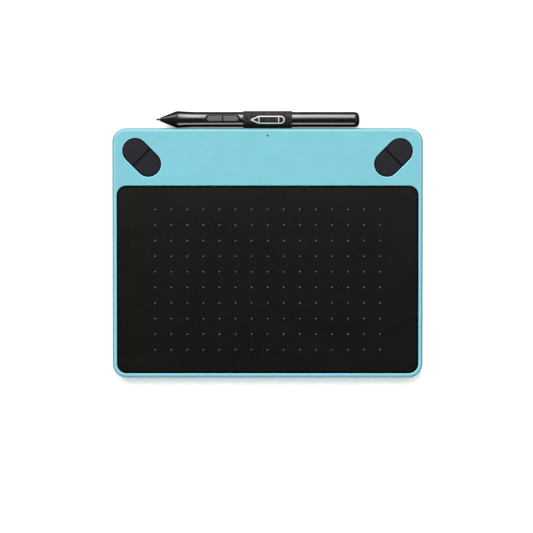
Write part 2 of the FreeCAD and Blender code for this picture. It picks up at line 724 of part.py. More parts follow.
def inner_rim_edges(edge):
    """The top edges of the key openings and of the drawing sheet's opening."""
    longest_round_hole = 4 * math.pi * dim("led_radius").value
    return flat_at("case_top")(edge) and edge.Length > longest_round_hole


def cover_bosses(body):
    """Screw bosses, posts for the key frames and ledges for the loop, under the top cover."""
    ceiling = dim("ceiling")
    bosses = Profile(body, level="boss_base")
    for x, y in CASE_SCREWS:
        bosses.circle(x, y, "boss_radius")
    bosses.pad(ceiling - "boss_base")
    for _, side, turn in KEY_PAIRS:
        place = {"level": "frame_top", "at": (side * dim("key_x"), "key_y"), "turn": turn}
        posts, pilots = Profile(body, **place), Profile(body, **place)
        for ear in SIDES:
            posts.circle(0, ear * dim("ear_y"), "post_radius")
            pilots.circle(0, ear * dim("ear_y"), "small_pilot")
        posts.pad(ceiling - "frame_top")
        pilots.cut("pilot_depth")
    ledges = Profile(body, level=TAIL_TOP)
    screws = Profile(body, level=TAIL_TOP)
    for side in SIDES:
        left, right = mirrored(dim("tail_notch") + "notch_gap", dim("loop_width") / 2, side)
        ledges.rectangle(left, "tail_front", right, HALF_DEPTH - dim("wall") / 2)
        screws.circle(side * dim("clamp_screw_x"), "clamp_screw_y", "small_pilot")
    ledges.pad(ceiling - TAIL_TOP)
    screws.cut("pilot_depth")
    holes = Profile(body, level="boss_base")
    for x, y in CASE_SCREWS:
        holes.circle(x, y, "case_pilot")
    holes.cut(ceiling - "boss_base" - "boss_end")


def cover_side_openings(body):
    """The loop's slot in the rear wall and the top half of the data socket's opening."""
    slot = Profile(body, level=dim("tail_base") - "clamp_gap")
    slot.slab(dim("loop_width") + 2 * dim("notch_gap"), dim("wall") * 4, y=HALF_DEPTH)
    slot.cut(TAIL_TOP - "tail_base" + "clamp_gap")
    usb_mouth(body, dim("seam_height"), USB_TOP + "usb_clear")


def usb_mouth(body, base, top):
    """The data socket's opening through the left wall, between two heights."""
    mouth = Profile(body, level=base)
    mouth.slab(dim("wall") * 4, dim("usb_width") + 2 * dim("usb_clear"), x=-HALF_WIDTH, y="usb_y")
    mouth.cut(top - base)


def drawing_sheet():
    """The textured black sheet that the pen draws on."""
    body = tablet_body("drawing_sheet")
    Profile(body, level="sheet_floor").rectangle(*sheet_corners(dim("sheet_gap"))).pad("sheet_thickness")
    dress(body, "Chamfer", "sheet_chamfer", flat_at(dim("sheet_floor") + "sheet_thickness"))


def bottom_cover():
    """The lower shell: thick plate round the bays, posts, ribs, foot recesses and screw holes."""
    body = tablet_body("bottom_cover")
    base, seam, floor = dim("foot_height"), dim("seam_height"), dim("floor_top")
    Profile(body, level=base).slab("tablet_width", "tablet_depth", "corner_radius").pad(seam - base)
    dress(body, "Fillet", "base_round", flat_at(base))
    dress(body, "Chamfer", "seam_chamfer", flat_at(seam))
    hollow_case(body, floor, seam)
    deck = Profile(body, level=floor - MERGE)
    deck.rectangle(-dim("deck_half"), "deck_front", "deck_half", "deck_rear")
    deck.pad(dim("deck_top") - floor + MERGE)
    base_posts(body)
    sensor_ribs(body)
    base_openings(body)
    usb_mouth(body, dim("board_top") - "usb_clear", seam)


def base_posts(body):
    """Posts that meet the top cover's bosses, and those under the main board."""
    floor = dim("floor_top")
    posts = Profile(body, level=floor - MERGE)
    for x, y in CASE_SCREWS:
        posts.circle(x, y, "case_post_radius")
    posts.pad(dim("boss_base") - floor + MERGE)
    small = Profile(body, level=floor - MERGE)
    pilots = Profile(body, level=dim("board_base") - "pilot_depth")
    for x, y in BOARD_SCREWS:
        small.circle(x, y, "board_post_radius")
        pilots.circle(x, y, "small_pilot")
    small.pad(dim("board_base") - floor + MERGE)
    pilots.cut(dim("pilot_depth") + BEYOND)


def sensor_ribs(body):
    """A grid of ribs that holds the shield and the sensing board up against the top cover."""
    base = dim("floor_top") - MERGE
    height = dim("shield_base") - base
    half = dim("sensor_width") / 2 - "rib_inset"
    front, rear = dim("sensor_front") + "rib_inset", dim("shield_rear") - "rib_inset"
    ribs = Profile(body, level=base)
    for x in (-dim("rib_x"), 0, dim("rib_x")):
        ribs.slab("rib_thickness", rear - front, x=x, y=(front + rear) / 2)
    ribs.pad(height)
    for y in ("rib_front", "rib_rear"):
        cross = Profile(body, level=base)
        cross.slab(half * 2, "rib_thickness", y=y)
        cross.pad(height)


def tab_slots(body, tabs):
    """Cuts the slots that the lid's hinge tabs turn in."""
    gap, swing = dim("lid_gap"), dim("tab_swing")
    slots = Profile(body, level=dim("tab_base") - gap / 2)
    for x in tabs:
        slots.rectangle(
            x - dim("tab_width") / 2 - gap, dim("lid_front") - swing,
            x + dim("tab_width") / 2 + gap, dim("lid_front") + swing,
        )
    slots.cut(dim("slot_top") - "tab_base" + gap / 2)


def base_openings(body):
    """Everything cut into the base from below: lid recess, bays, hinge slots, feet and screw holes."""
    base, gap = dim("foot_height"), dim("lid_gap")
    recess = Profile(body, level=base - BEYOND)
    recess.rectangle(
        -dim("lid_half") - gap, dim("lid_front") - gap, dim("lid_half") + gap, dim("lid_rear") + gap,
        dim("lid_corner") + gap,
    )
    recess.cut(dim("tub_base") - base + BEYOND)
    bays = Profile(body, level=base)
    grow = dim("tub_wall") + "tub_gap"
    front, rear, corner = dim("bay_front") - grow, dim("bay_rear") + grow, dim("bay_corner") + grow
    for _, left, right in BAYS:
        bays.rectangle(left - grow, front, right + grow, rear, corner)
    bays.cut(dim("deck_top") - base + BEYOND)
    tab_slots(body, TABS)
    for _, x, y in FEET:
        foot = Profile(body, level=base - BEYOND)
        foot.stadium(dim("foot_half") - "foot_radius", "foot_radius", x, y)
        foot.cut(dim("foot_sunk") + BEYOND)
    heads = Profile(body, level=base - BEYOND)
    shanks = Profile(body, level=base)
    for x, y in CASE_SCREWS:
        heads.circle(x, y, dim("head_radius") + "head_gap")
        shanks.circle(x, y, dim("shank_radius") + "shank_gap")
    heads.cut(dim("head_top") - base + BEYOND)
    shanks.cut(dim("seam_height") - base)
    label = Profile(body, level=base - BEYOND)
    label.slab("label_width", "label_depth", "label_corner", y="label_y")
    label.cut(dim("label_sunk") + BEYOND)
    nail = Profile(body, level=base - BEYOND)
    nail.stadium("nail_half", "nail_radius", 0, dim("lid_rear") + "nail_y")
    nail.cut(dim("nail_depth") + BEYOND)


def tubs():
    """The three bays' tubs, open below, dropped into the thick plate with a lip in front and behind."""
    wall, lip = dim("tub_wall"), dim("tub_lip")
    front, rear = dim("bay_front"), dim("bay_rear")
    for name, left, right in BAYS:
        body = tablet_body(name)
        outer = Profile(body, level="tub_base")
        outer.rectangle(left - wall, front - wall, right + wall, rear + wall, dim("bay_corner") + wall)
        outer.pad(dim("tub_top") - "tub_base")
        lips = Profile(body, level="deck_top")
        lips.rectangle(left + lip, front - wall - lip, right - lip, rear + wall + lip)
        lips.pad("lip_height")
        bay = Profile(body, level=dim("tub_base") - BEYOND)
        bay.rectangle(left, front, right, rear, "bay_corner")
        bay.cut(dim("bay_top") - "tub_base" + BEYOND)
        tab_slots(body, [x for x in TABS if left.value < x.value < right.value])


def bay_lid():
    """The lid over the bays, with hinge tabs, a spring tongue to release it and grip ridges."""
    body = tablet_body("bay_lid")
    base = dim("foot_height")
    plate = Profile(body, level=base)
    plate.rectangle(-dim("lid_half"), "lid_front", "lid_half", "lid_rear", "lid_corner")
    plate.pad(dim("lid_top") - base)
    dress(body, "Chamfer", "lid_chamfer", flat_at(base))
    tabs = Profile(body, level="tab_base")
    for x in TABS:
        tabs.rectangle(
            x - dim("tab_width") / 2, dim("lid_front") - "tab_reach",
            x + dim("tab_width") / 2, dim("lid_front") + "tab_root",
        )
    tabs.pad(dim("tab_top") - "tab_base")
    tongue = Profile(body, level=base - BEYOND)
    slit_y = dim("lid_rear") - "tongue_y"
    for side in SIDES:
        tongue.slab("tongue_slit", "tongue_length", x=side * dim("tongue_half"), y=slit_y)
    tongue.cut(dim("lid_top") - base + 2 * BEYOND)
    grip = Profile(body, level=base - "ridge_height")
    for k in range(4):
        y = dim("lid_rear") - "ridge_y" - dim("ridge_pitch") * k
        grip.slab("ridge_length", "ridge_width", dim("ridge_width") / 3, y=y)
    grip.pad(2 * dim("ridge_height"))


def feet():
    """The four rubber feet."""
    for name, x, y in FEET:
        body = tablet_body(name)
        pad = Profile(body, level=0)
        pad.stadium(dim("foot_half") - "foot_radius", dim("foot_radius") - "foot_gap", x, y)
        pad.pad(dim("foot_height") + "foot_sunk")
        dress(body, "Fillet", "foot_round", flat_at(0))


def cross_recess(body, level, span, depth):
    """The screwdriver's cross in a screw head, cut upwards from level."""
    arm, thick = dim(span) / 2, dim("cross_width") / 2
    cross = Profile(body, level=level)
    corners = []
    for sx, sy in ((1, 1), (-1, 1), (-1, -1), (1, -1)):
        inner = (sx * thick, sy * thick)
        along_x, along_y = (sx * arm, sy * thick), (sx * thick, sy * arm)
        corners += [along_x, inner, along_y] if sx * sy > 0 else [along_y, inner, along_x]
    cross.outline(corners)
    cross.cut(depth)


def case_screw():
    """One screw of the case, head down."""
    body = new_body("case_screw_master", kept=False)
    base, top = dim("head_base"), dim("head_top")
    Profile(body, level=base).circle(0, 0, "head_radius").pad(top - base)
    dress(body, "Fillet", "head_round", flat_at(base))
    Profile(body, level=top - MERGE).circle(0, 0, "shank_radius").pad("shank_length")
    cross_recess(body, base - BEYOND, dim("head_radius") * 1.15, dim("cross_depth") + BEYOND)
    return body


def small_screw(head_down):
    """One small screw with its head under or over z = 0, and its shank the other way."""
    body = new_body("screw_head_down" if head_down else "screw_head_up", kept=False)
    height, shank, depth = dim("small_head_height"), dim("small_shank_length"), dim("small_head_height") / 2
    if head_down:
        head_at, shank_at, recess_at = -height, dim(-MERGE), -height - BEYOND
    else:
        head_at, shank_at, recess_at = dim(0), -shank, height - depth
    Profile(body, level=head_at).circle(0, 0, "small_head").pad(height)
    Profile(body, level=shank_at).circle(0, 0, "small_shank").pad(shank + MERGE)
    cross_recess(body, recess_at, dim("small_head") * 1.1, depth + BEYOND)
    return body


def screws():
    """Every screw, as one node for each kind and job."""
    case = case_screw()
    group("case_screws", [(case, on_case(x, y)) for x, y in CASE_SCREWS])
    over, under = small_screw(False), small_screw(True)
    group("board_screws", [(over, on_case(x, y, "board_top")) for x, y in BOARD_SCREWS])
    places = []
    for _, side, turn in KEY_PAIRS:
        for ear in SIDES:
            along = math.radians(turn + 90.0)
            x = side * dim("key_x") + ear * math.cos(along) * dim("ear_y")
            y = dim("key_y") + ear * math.sin(along) * dim("ear_y")
            places.append(on_case(x, y, "frame_base"))
    group("key_frame_screws", [(under, place) for place in places])
    clamps = [on_case(side * dim("clamp_screw_x"), "clamp_screw_y", "clamp_base") for side in SIDES]
    group("loop_clamp_screws", [(under, place) for place in clamps])


def key_outline(profile, radius, flat_edge):
    """Half of a stadium, from the split outwards."""
    radius, flat_edge, end = dim(radius), dim(flat_edge), dim("key_spacing") / 2
    points = [(flat_edge, -radius), (end, -radius), (end, radius), (flat_edge, radius)]
    return profile.outline(points, {1: (end, 0, True)})


def keys():
    """The four keys and the moving buttons of the switches under them."""
    for name, side, turn in KEYS:
        place = on_case(side * dim("key_x"), "key_y", 0, turn)
        body = new_body(f"{name}_key")
        split = dim("key_split") / 2
        cap = Profile(body, level=dim("flange_top") - MERGE)
        key_outline(cap, dim("key_radius") - "key_gap", split).pad(dim("key_top") - "flange_top" + MERGE)
        dress(body, "Fillet", "key_round", flat_at("key_top"))
        flange = Profile(body, level="flange_base")
        key_outline(flange, dim("key_radius") + "key_flange", split)
        flange.pad(dim("flange_top") - "flange_base")
        post = Profile(body, level="plunger_base").circle("plunger_x", 0, "plunger_radius")
        post.pad(dim("flange_base") - "plunger_base" + MERGE)
        body.Placement = place
        button = new_body(f"{name}_switch_button")
        press = Profile(button, level="actuator_base").circle("plunger_x", 0, "actuator_radius")
        press.pad(dim("plunger_base") - "actuator_base")
        button.Placement = place


def key_frames():
    """The frames that hold the keys in the top cover and guide their posts."""
    base, thick = dim("frame_base"), dim("frame_top") - "frame_base"
    for name, side, turn in KEY_PAIRS:
        body = new_body(f"key_frame_{name}")
        Profile(body, level=base).stadium(dim("key_spacing") / 2, "frame_radius").pad(thick)
        ears = Profile(body, level=base)
        holes = Profile(body, level=base)
        for end in SIDES:
            ears.circle(0, end * dim("ear_y"), "ear_radius")
            holes.circle(end * dim("plunger_x"), 0, dim("plunger_radius") + "guide_gap")
            holes.circle(0, end * dim("ear_y"), dim("small_shank") + "guide_gap")
        ears.pad(thick)
        holes.cut(thick + BEYOND)
        body.Placement = on_case(side * dim("key_x"), "key_y", 0, turn)


def key_switches():
    """The switch housings on the main board, each with a well for its moving button."""
    body = new_body("switch_master", kept=False)
    base, top = dim("board_top"), dim("switch_top")
    housing = Profile(body, level=base)
    housing.slab("switch_side", "switch_side", "switch_corner", x="plunger_x")
    housing.pad(top - base)
    well = Profile(body, level=dim("actuator_base") - "switch_travel")
    well.circle("plunger_x", 0, dim("actuator_radius") + "guide_gap")
    well.cut(top - base + BEYOND)
    group("key_switches", [(body, on_case(side * dim("key_x"), "key_y", 0, turn)) for _, side, turn in KEYS])


def main_board():
    """The circuit board along the rear, with a wing under each pair of keys."""
    body = tablet_body("main_board")
    thick = dim("board_top") - "board_base"
    right = [
        ("board_bevel_x", "board_rear"), ("board_half", "board_bevel_y"), ("board_half", "wing_front"),
        ("wing_inner", "wing_front"), ("wing_inner", "board_front"),
    ]
    left = [(-dim(x), y) for x, y in reversed(right)]
    Profile(body, level="board_base").outline(list(reversed(left + right))).pad(thick)
    holes = Profile(body, level=dim("board_base") - BEYOND)
    for x, y in BOARD_SCREWS:
        holes.circle(x, y, dim("small_shank") + "guide_gap")
    holes.cut(thick + 2 * BEYOND)


def board_chips():
    """The controller and the smaller chips on the main board."""
    placed = []
    for side, height, x in CHIPS:
        body = new_body("chip_master", kept=False)
        Profile(body).slab(side, side).pad(height)
        placed.append((body, on_case(x, "chip_y", "board_top")))
    group("board_chips", placed)


def data_socket():
    """The data socket: a folded metal shell and the contact tongue inside it."""
    body = tablet_body("usb_shell")
    mouth = -HALF_WIDTH + "usb_inset"
    half, length = dim("usb_width") / 2, dim("usb_length")
    base, y, thin, slope = dim("board_top"), dim("usb_y"), dim("usb_wall"), dim("usb_slope")

    def ring(shrink):
        """The socket's six-sided section, on the plane across the case, as seen from the left."""
        low, high, side = base + shrink, USB_TOP - shrink, half - shrink
        return [
            (y - side + slope, low), (y + side - slope, low), (y + side, low + slope),
            (y + side, high), (y - side, high), (y - side, low + slope),
        ]

    Profile(body, "YZ_Plane", mouth).outline(ring(0)).pad(length)
    hollow = Profile(body, "YZ_Plane", mouth)
    hollow.outline(ring(thin))
    hollow.cut(length - thin)
    tongue = tablet_body("usb_tongue")
    blade = Profile(tongue, level=base + "tongue_rise")
    blade.rectangle(mouth + "blade_inset", y - "blade_half", mouth + length - thin, y + "blade_half")
    blade.pad("blade_thickness")


def status_light():
    """The light chip on the board and the clear pipe that carries it to the top."""
    body = tablet_body("status_light_pipe")
    ceiling, low, collar = dim("ceiling"), dim("board_top") + "pipe_rise", dim("pipe_collar_height")
    Profile(body, level=low).circle(0, "led_y", "pipe_radius").pad(ceiling - low)
    Profile(body, level=ceiling - collar).circle(0, "led_y", dim("pipe_radius") * 2).pad(collar)
    stub = Profile(body, level=ceiling - MERGE).circle(0, "led_y", dim("led_radius") - "pipe_gap")
    stub.pad(dim("case_top") - ceiling - "pipe_gap" + MERGE)
    half_x, half_y = dim("chip_led_x"), dim("chip_led_y")
    y, base = dim("led_y"), dim("board_top")
    block("status_led", -half_x, y - half_y, base, half_x, y + half_y, base + "chip_led_height")


def sensor_stack():
    """The pen sensing board against the top cover, its spacer film and its steel shield."""
    half, inset = dim("sensor_width") / 2, dim("spacer_inset")
    front, rear, corner = dim("sensor_front"), dim("shield_rear"), dim("sensor_corner")
    block("sensor_board", -half, front, "sensor_base", half, "sensor_rear", "ceiling", corner)
    edge = half - inset
    block("sensor_spacer", -edge, front + inset, "shield_top", edge, rear - inset, "sensor_base", corner)
    block("shield_plate", -half, front, "shield_base", half, rear, "shield_top", corner)


def ribbon():
    """The flat cable between the two boards and its two connectors."""
    left, right = dim("ribbon_x"), dim("ribbon_x") + "ribbon_width"
    upper, lower, thin = dim("ribbon_upper"), dim("ribbon_lower"), dim("ribbon_thickness")
    start, end, run, plug = dim("ribbon_front"), dim("ribbon_rear"), dim("ribbon_run"), dim("plug_depth")
    fold = thin / 3
    body = tablet_body("ribbon_cable")
    bend = Profile(body, "YZ_Plane", left)
    bend.outline([
        (start, upper), (start + run, upper), (end - run, lower), (end, lower),
        (end, lower + thin), (end - run + fold, lower + thin),
        (start + run + fold, upper + thin), (start, upper + thin),
    ])
    bend.pad(right - left)
    edge = dim("plug_margin")
    ends = [
        (start - plug, start, dim("sensor_base") - "plug_height", "sensor_base"),
        (end, end + plug, "board_top", dim("board_top") + "plug_height"),
    ]
    placed = []
    for front, rear, low, high in ends:
        plug_body = block("ribbon_plug", left - edge, front, low, right + edge, rear, high, kept=False)
        placed.append((plug_body, FreeCAD.Placement()))
    group("ribbon_connectors", placed)


def bay_contents():
    """What is fixed in the bays: battery contacts, the radio's socket, spare nibs and their holder."""
    front, rear, top = dim("bay_front"), dim("bay_rear"), dim("bay_top")
    wall = rear - "contact_block_depth"
    block("battery_contact_block", "contacts_left", wall, "fixture_base", "contacts_right", rear, top)
    spring = new_body("contact_master", kept=False)
    Profile(spring, "YZ_Plane").outline(CONTACT_STRIP).pad("contact_width", both_ways=True)
    middle, pitch = (dim("contacts_left") + "contacts_right") / 2, dim("contact_pitch")
    places = [on_case(middle + pitch * k, wall, "contact_z") for k in (-1, 0, 1)]
    group("battery_contacts", [(spring, place) for place in places])

    left, right, depth = dim("radio_left"), dim("radio_right"), dim("radio_depth")
    edge, slot_low = dim("radio_wall"), dim("radio_slot_z")
    socket = block("radio_socket", left, rear - depth, "fixture_base", right, rear, top)
    slot = Profile(socket, level=slot_low)
    slot.rectangle(left + edge, rear - depth - BEYOND, right - edge, rear - edge)
    slot.cut("radio_slot_height")

    half, lines, near = dim("holder_half"), dim("nib_line_z"), front + "holder_inset"
    holder = block("spare_nib_holder", -half, near, lines, half, near + "holder_depth", top)
    groove = Profile(holder, "YZ_Plane", -half - BEYOND)
    for y in NIB_LINES:
        groove.circle(y, lines, dim("nib_radius") + "nib_clear")
    groove.cut(half * 2 + 2 * BEYOND)
    nib = new_body("spare_nib_master", kept=False)
    nib_profile(nib)
    group("spare_nibs", [(nib, on_case(-dim("nib_length") / 2, y, lines)) for y in NIB_LINES])

    puller = tablet_body("nib_puller")
    base, thick, middle_y = dim("puller_base"), dim("puller_height"), rear - "puller_y"
    Profile(puller, level=base).circle(0, middle_y, "puller_outer").pad(thick)
    Profile(puller, level=base - BEYOND).circle(0, middle_y, "puller_inner").cut(thick + 2 * BEYOND)
    jaw = Profile(puller, level=base - BEYOND)
    jaw_half = dim("puller_jaw") / 2
    jaw.rectangle(-jaw_half, middle_y - "puller_outer" - BEYOND, jaw_half, middle_y)
    jaw.cut(thick + 2 * BEYOND)


def pen_loop():
    """The webbing that holds the pen: a tube of cloth and a double tail clamped in the case."""
    body = tablet_body("pen_loop")
    inner, thin, bottom = dim("loop_inner"), dim("loop_thickness"), dim("tail_base")
    axis_y, half, front = HALF_DEPTH + "pen_gap", dim("loop_width") / 2, dim("tail_front")
    tube = Profile(body, "YZ_Plane")
    tube.circle(axis_y, "pen_z", inner + thin)
    tube.circle(axis_y, "pen_z", inner)
    tube.pad("loop_width", both_ways=True)
    tail = Profile(body, level=bottom)
    tail.rectangle(-half, front, half, axis_y - inner - thin / 10)
    tail.pad(thin * 2)
    notch = Profile(body, level=bottom - BEYOND)
    notch.rectangle(-dim("tail_notch"), front - BEYOND, "tail_notch", HALF_DEPTH - "wall" - "notch_gap")
    notch.cut(thin * 2 + 2 * BEYOND)
    holes = Profile(body, level=bottom - BEYOND)
    for side in SIDES:
        holes.circle(side * dim("clamp_screw_x"), "clamp_screw_y", dim("small_shank") + "guide_gap")
    holes.cut(thin * 2 + 2 * BEYOND)
    for name, side in (("left", -1), ("right", 1)):
        clamp = tablet_body(f"loop_clamp_{name}")
        left, right = mirrored(dim("tail_notch") + "notch_gap", half, side)
        bar = Profile(clamp, level="clamp_base")
        bar.rectangle(left, front, right, HALF_DEPTH - "wall" - "notch_gap", "clamp_corner")
        bar.pad(bottom - "clamp_base")
        hole = Profile(clamp, level=dim("clamp_base") - BEYOND)
        hole.circle(side * dim("clamp_screw_x"), "clamp_screw_y", dim("small_shank") + "guide_gap")
        hole.cut(bottom - "clamp_base" + 2 * BEYOND)


def turned(body, points, centres=None):
    """Makes a round piece about the pen's axis from half its section, given as distances along and out."""
    section = Profile(body, "XZ_Plane")
    section.outline(points, centres)
    section.revolve()


def tube_piece(label, start, end, inner, outer):
    """A plain round tube about the pen's axis."""
    turned(pen_body(label), [(start, inner), (end, inner), (end, outer), (start, outer)])


def nib_profile(body):
    """A nib lying along x with its rounded point at 0."""
    r, length = dim("nib_radius"), dim("nib_length")
    turned(body, [(0, 0), (length, 0), (length, r), (r, r)], {3: (r, 0, True)})


def pen_nose():
    """The nose cone, the nib and what senses the nib."""
    end, well = dim("cone_end"), dim("nose_well_radius")
    hole = dim("nib_radius") + "nib_gap"
    turned(pen_body("pen_nose_cone"), [
        ("cone_tip", hole), ("nose_bore_end", hole), ("nose_well", well), ("spigot_end", well),
        ("spigot_end", "spigot_radius"), (end, "spigot_radius"), (end, "cone_end_radius"),
        ("cone_tip", "cone_tip_radius"),
    ])
    nib_profile(pen_body("pen_nib"))
    hollow = dim("nib_radius") + "core_gap"
    tube_piece("pen_ferrite_core", "core_start", "core_end", hollow, "core_radius")
    tube_piece("pen_coil", "coil_start", "coil_end", "core_radius", "coil_radius")
    turned(pen_body("pen_pressure_gauge"), [
        ("gauge_x", hollow), ("gauge_floor", hollow), ("gauge_floor", 0), ("gauge_end", 0),
        ("gauge_end", "gauge_radius"), ("gauge_x", "gauge_radius"),
    ])


def pen_barrel():
    """The one-piece barrel, closed at the rear, flared at the grip and slotted for the side switch."""
    body = pen_body("pen_barrel")
    radius, flare, waist = dim("pen_radius"), dim("flare_radius"), dim("waist_x")
    seam, bore, end, curve = dim("cone_end"), dim("bore_radius"), dim("pen_length"), dim("end_round")
    socket, socket_end = dim("spigot_radius") + "spigot_gap", dim("spigot_end") + "spigot_play"
    plug, nose_drop, nose_run = dim("end_wall"), dim("seam_drop"), dim("seam_run")
    run, drop = waist - "flare_x", flare - radius
    sweep = (run * run + drop * drop) / (2 * drop)
    turned(
        body,
        [
            (seam, socket), (socket_end, socket), (socket_end, bore), (end - plug, bore), (end - plug, 0),
            (end, 0), (end, radius - curve), (end - curve, radius), (waist, radius), ("flare_x", flare),
            (seam + nose_run, flare - nose_drop / 4), (seam, flare - nose_drop),
        ],
        {6: (end - curve, radius - curve, True), 8: (waist, radius + sweep, False)},
    )
    slot = Profile(body, level="slot_floor")
    side = dim("rocker_side")
    slot.stadium(dim("rocker_half") - side, side + "rocker_gap", x="rocker_x")
    slot.cut(dim("flare_radius") - "slot_floor")


def pen_inside():
    """The carrier that slides into the barrel, its board and the two small switches."""
    carrier = pen_body("pen_carrier")
    inner, outer, middle = dim("carrier_inner"), dim("carrier_outer"), dim("rocker_x")
    trough = Profile(carrier, "YZ_Plane", "carrier_x")
    trough.outline([(-outer, 0), (outer, 0), (inner, 0), (-inner, 0)], {0: (0, 0, True), 2: (0, 0, False)})
    trough.pad(dim("carrier_end") - "carrier_x")
    ears = Profile(carrier, level="cheek_base")
    for side in SIDES:
        low, high = mirrored("cheek_inner", "cheek_outer", side)
        ears.rectangle(middle - "cheek_half", low, middle + "cheek_half", high)
    ears.pad(dim("cheek_top") - "cheek_base")
    pivot = Profile(carrier, "XZ_Plane", -outer)
    pivot.circle(middle, "pivot_z", dim("pivot_radius") + "pivot_gap")
    pivot.cut(outer * 2)
    board = pen_body("pen_board")
    half = dim("pen_board_half")
    Profile(board).rectangle("pen_board_x", -half, "pen_board_end", half).pad("pen_board_top")
    notch = Profile(board, level=-BEYOND)
    reach = dim("cheek_half") + "cheek_gap"
    for side in SIDES:
        low, high = mirrored(dim("cheek_inner") - 2 * dim("pivot_gap"), half + BEYOND, side)
        notch.rectangle(middle - reach, low, middle + reach, high)
    notch.cut(dim("pen_board_top") + 2 * BEYOND)
    master = new_body("pen_switch_master", kept=False)
    Profile(master, level="pen_board_top").slab("pen_switch_x", "pen_switch_y").pad("pen_switch_height")
    Profile(master, level="pen_board_top").circle(0, 0, "pen_button_radius").pad("pen_button_height")
    places = [pen_placement(middle + side * dim("stem_x")) for side in SIDES]
    group("pen_switches", [(master, place) for place in places])


def pen_side_switch():
    """The rocker: a crowned bar, grooved at its middle, with a pivot pin and two stems."""
    body = pen_body("pen_side_switch")
    x, side = dim("rocker_x"), dim("rocker_side")
    base, top, pivot = dim("rocker_base"), dim("rocker_top"), dim("pivot_z")
    bar = Profile(body, level=base)
    bar.stadium(dim("rocker_half") - side, side, x=x)
    bar.pad(top - base)
    dress(body, "Fillet", "rocker_round", flat_at(top))
    groove = Profile(body, level=top - "groove_depth")
    groove.slab("groove_width", side * 2 + BEYOND, x=x)
    groove.cut(dim("groove_depth") + BEYOND)
    web_base = pivot - "pivot_radius"
    web = Profile(body, level=web_base)
    web.slab("web_thickness", "web_width", x=x)
    web.pad(base - web_base + MERGE)
    pin = Profile(body, "XZ_Plane")
    pin.circle(x, pivot, "pivot_radius")
    pin.pad("pin_length", both_ways=True)
    stems = Profile(body, level="stem_base")
    for end in SIDES:
        stems.circle(x + end * dim("stem_x"), 0, "stem_radius")
    stems.pad(base - "stem_base" + MERGE)


def check_document():
    """Stops if any object failed or any kept shape isn't a valid solid."""
    doc.recompute()
    for thing in doc.Objects:
        if "Invalid" in thing.State or "Error" in thing.State:
            raise RuntimeError(f"{thing.Label} failed: {thing.State}")
    for part in parts:
        if part.Shape.isNull() or not part.Shape.isValid() or not part.Shape.Solids:
            raise RuntimeError(f"{part.Label} has no valid solid")


def write_parts():
    """Writes one STEP file for each kept part, and prints its size and place."""
    os.makedirs("parts", exist_ok=True)
    for name in os.listdir("parts"):
        if name.endswith(".step"):
            os.remove(os.path.join("parts", name))
    for part in parts:
        part.Shape.exportStep(os.path.join("parts", part.Label + ".step"))
        box = part.Shape.BoundBox
        print(
            f"{part.Label}: {len(part.Shape.Solids)} solid(s), {part.Shape.Volume:.1f} mm3, "
            f"x {box.XMin:.2f}..{box.XMax:.2f}, "
            f"y {box.YMin:.2f}..{box.YMax:.2f}, "
            f"z {box.ZMin:.2f}..{box.ZMax:.2f}"
        )


for build in (
    top_cover, drawing_sheet, bottom_cover, tubs, bay_lid, feet, screws, keys, key_frames, key_switches,
    main_board, board_chips, data_socket, status_light, sensor_stack, ribbon, bay_contents,
    pen_loop, pen_nose, pen_barrel, pen_inside, pen_side_switch,
):
    build()
check_document()
write_parts()
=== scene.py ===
"""A pen drawing tablet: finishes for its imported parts, with the woven pen loop, the prints and the label.

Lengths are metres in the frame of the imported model: +X to the drawer's right, +Y towards the pen, +Z up.
"""

import json
import math

import bpy
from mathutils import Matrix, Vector


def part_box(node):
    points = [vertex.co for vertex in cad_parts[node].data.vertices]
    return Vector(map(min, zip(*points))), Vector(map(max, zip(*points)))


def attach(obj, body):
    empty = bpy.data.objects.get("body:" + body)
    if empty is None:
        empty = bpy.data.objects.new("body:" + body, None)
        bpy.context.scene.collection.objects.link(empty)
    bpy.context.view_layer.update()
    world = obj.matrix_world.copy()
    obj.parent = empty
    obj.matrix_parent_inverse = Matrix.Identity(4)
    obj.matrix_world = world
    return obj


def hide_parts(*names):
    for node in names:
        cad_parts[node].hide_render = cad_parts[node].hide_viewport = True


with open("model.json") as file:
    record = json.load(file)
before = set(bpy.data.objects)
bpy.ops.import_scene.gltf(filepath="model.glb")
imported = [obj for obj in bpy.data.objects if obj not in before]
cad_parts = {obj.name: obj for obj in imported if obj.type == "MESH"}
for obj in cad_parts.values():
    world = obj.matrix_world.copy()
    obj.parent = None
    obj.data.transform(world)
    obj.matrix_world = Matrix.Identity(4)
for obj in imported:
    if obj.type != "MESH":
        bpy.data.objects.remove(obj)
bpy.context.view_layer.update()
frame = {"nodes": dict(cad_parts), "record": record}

MM = 0.001
NODES = frame["nodes"]


def mm(*lengths):
    """Lengths given in millimetres, in metres."""
    scaled = tuple(length * MM for length in lengths)
    return scaled[0] if len(scaled) == 1 else scaled


def srgb(red, green, blue):
    """A linear colour from 8-bit display values."""
    def channel(value):
        value /= 255
        return value / 12.92 if value <= 0.04045 else ((value + 0.055) / 1.055) ** 2.4
    return channel(red), channel(green), channel(blue), 1.0


def shade(colour, factor):
    """The same colour, lighter or darker."""
    return tuple(min(1.0, part * factor) for part in colour[:3]) + (1.0,)


# --------------------------------------------------------------------------------------------------
# Finishes
# --------------------------------------------------------------------------------------------------

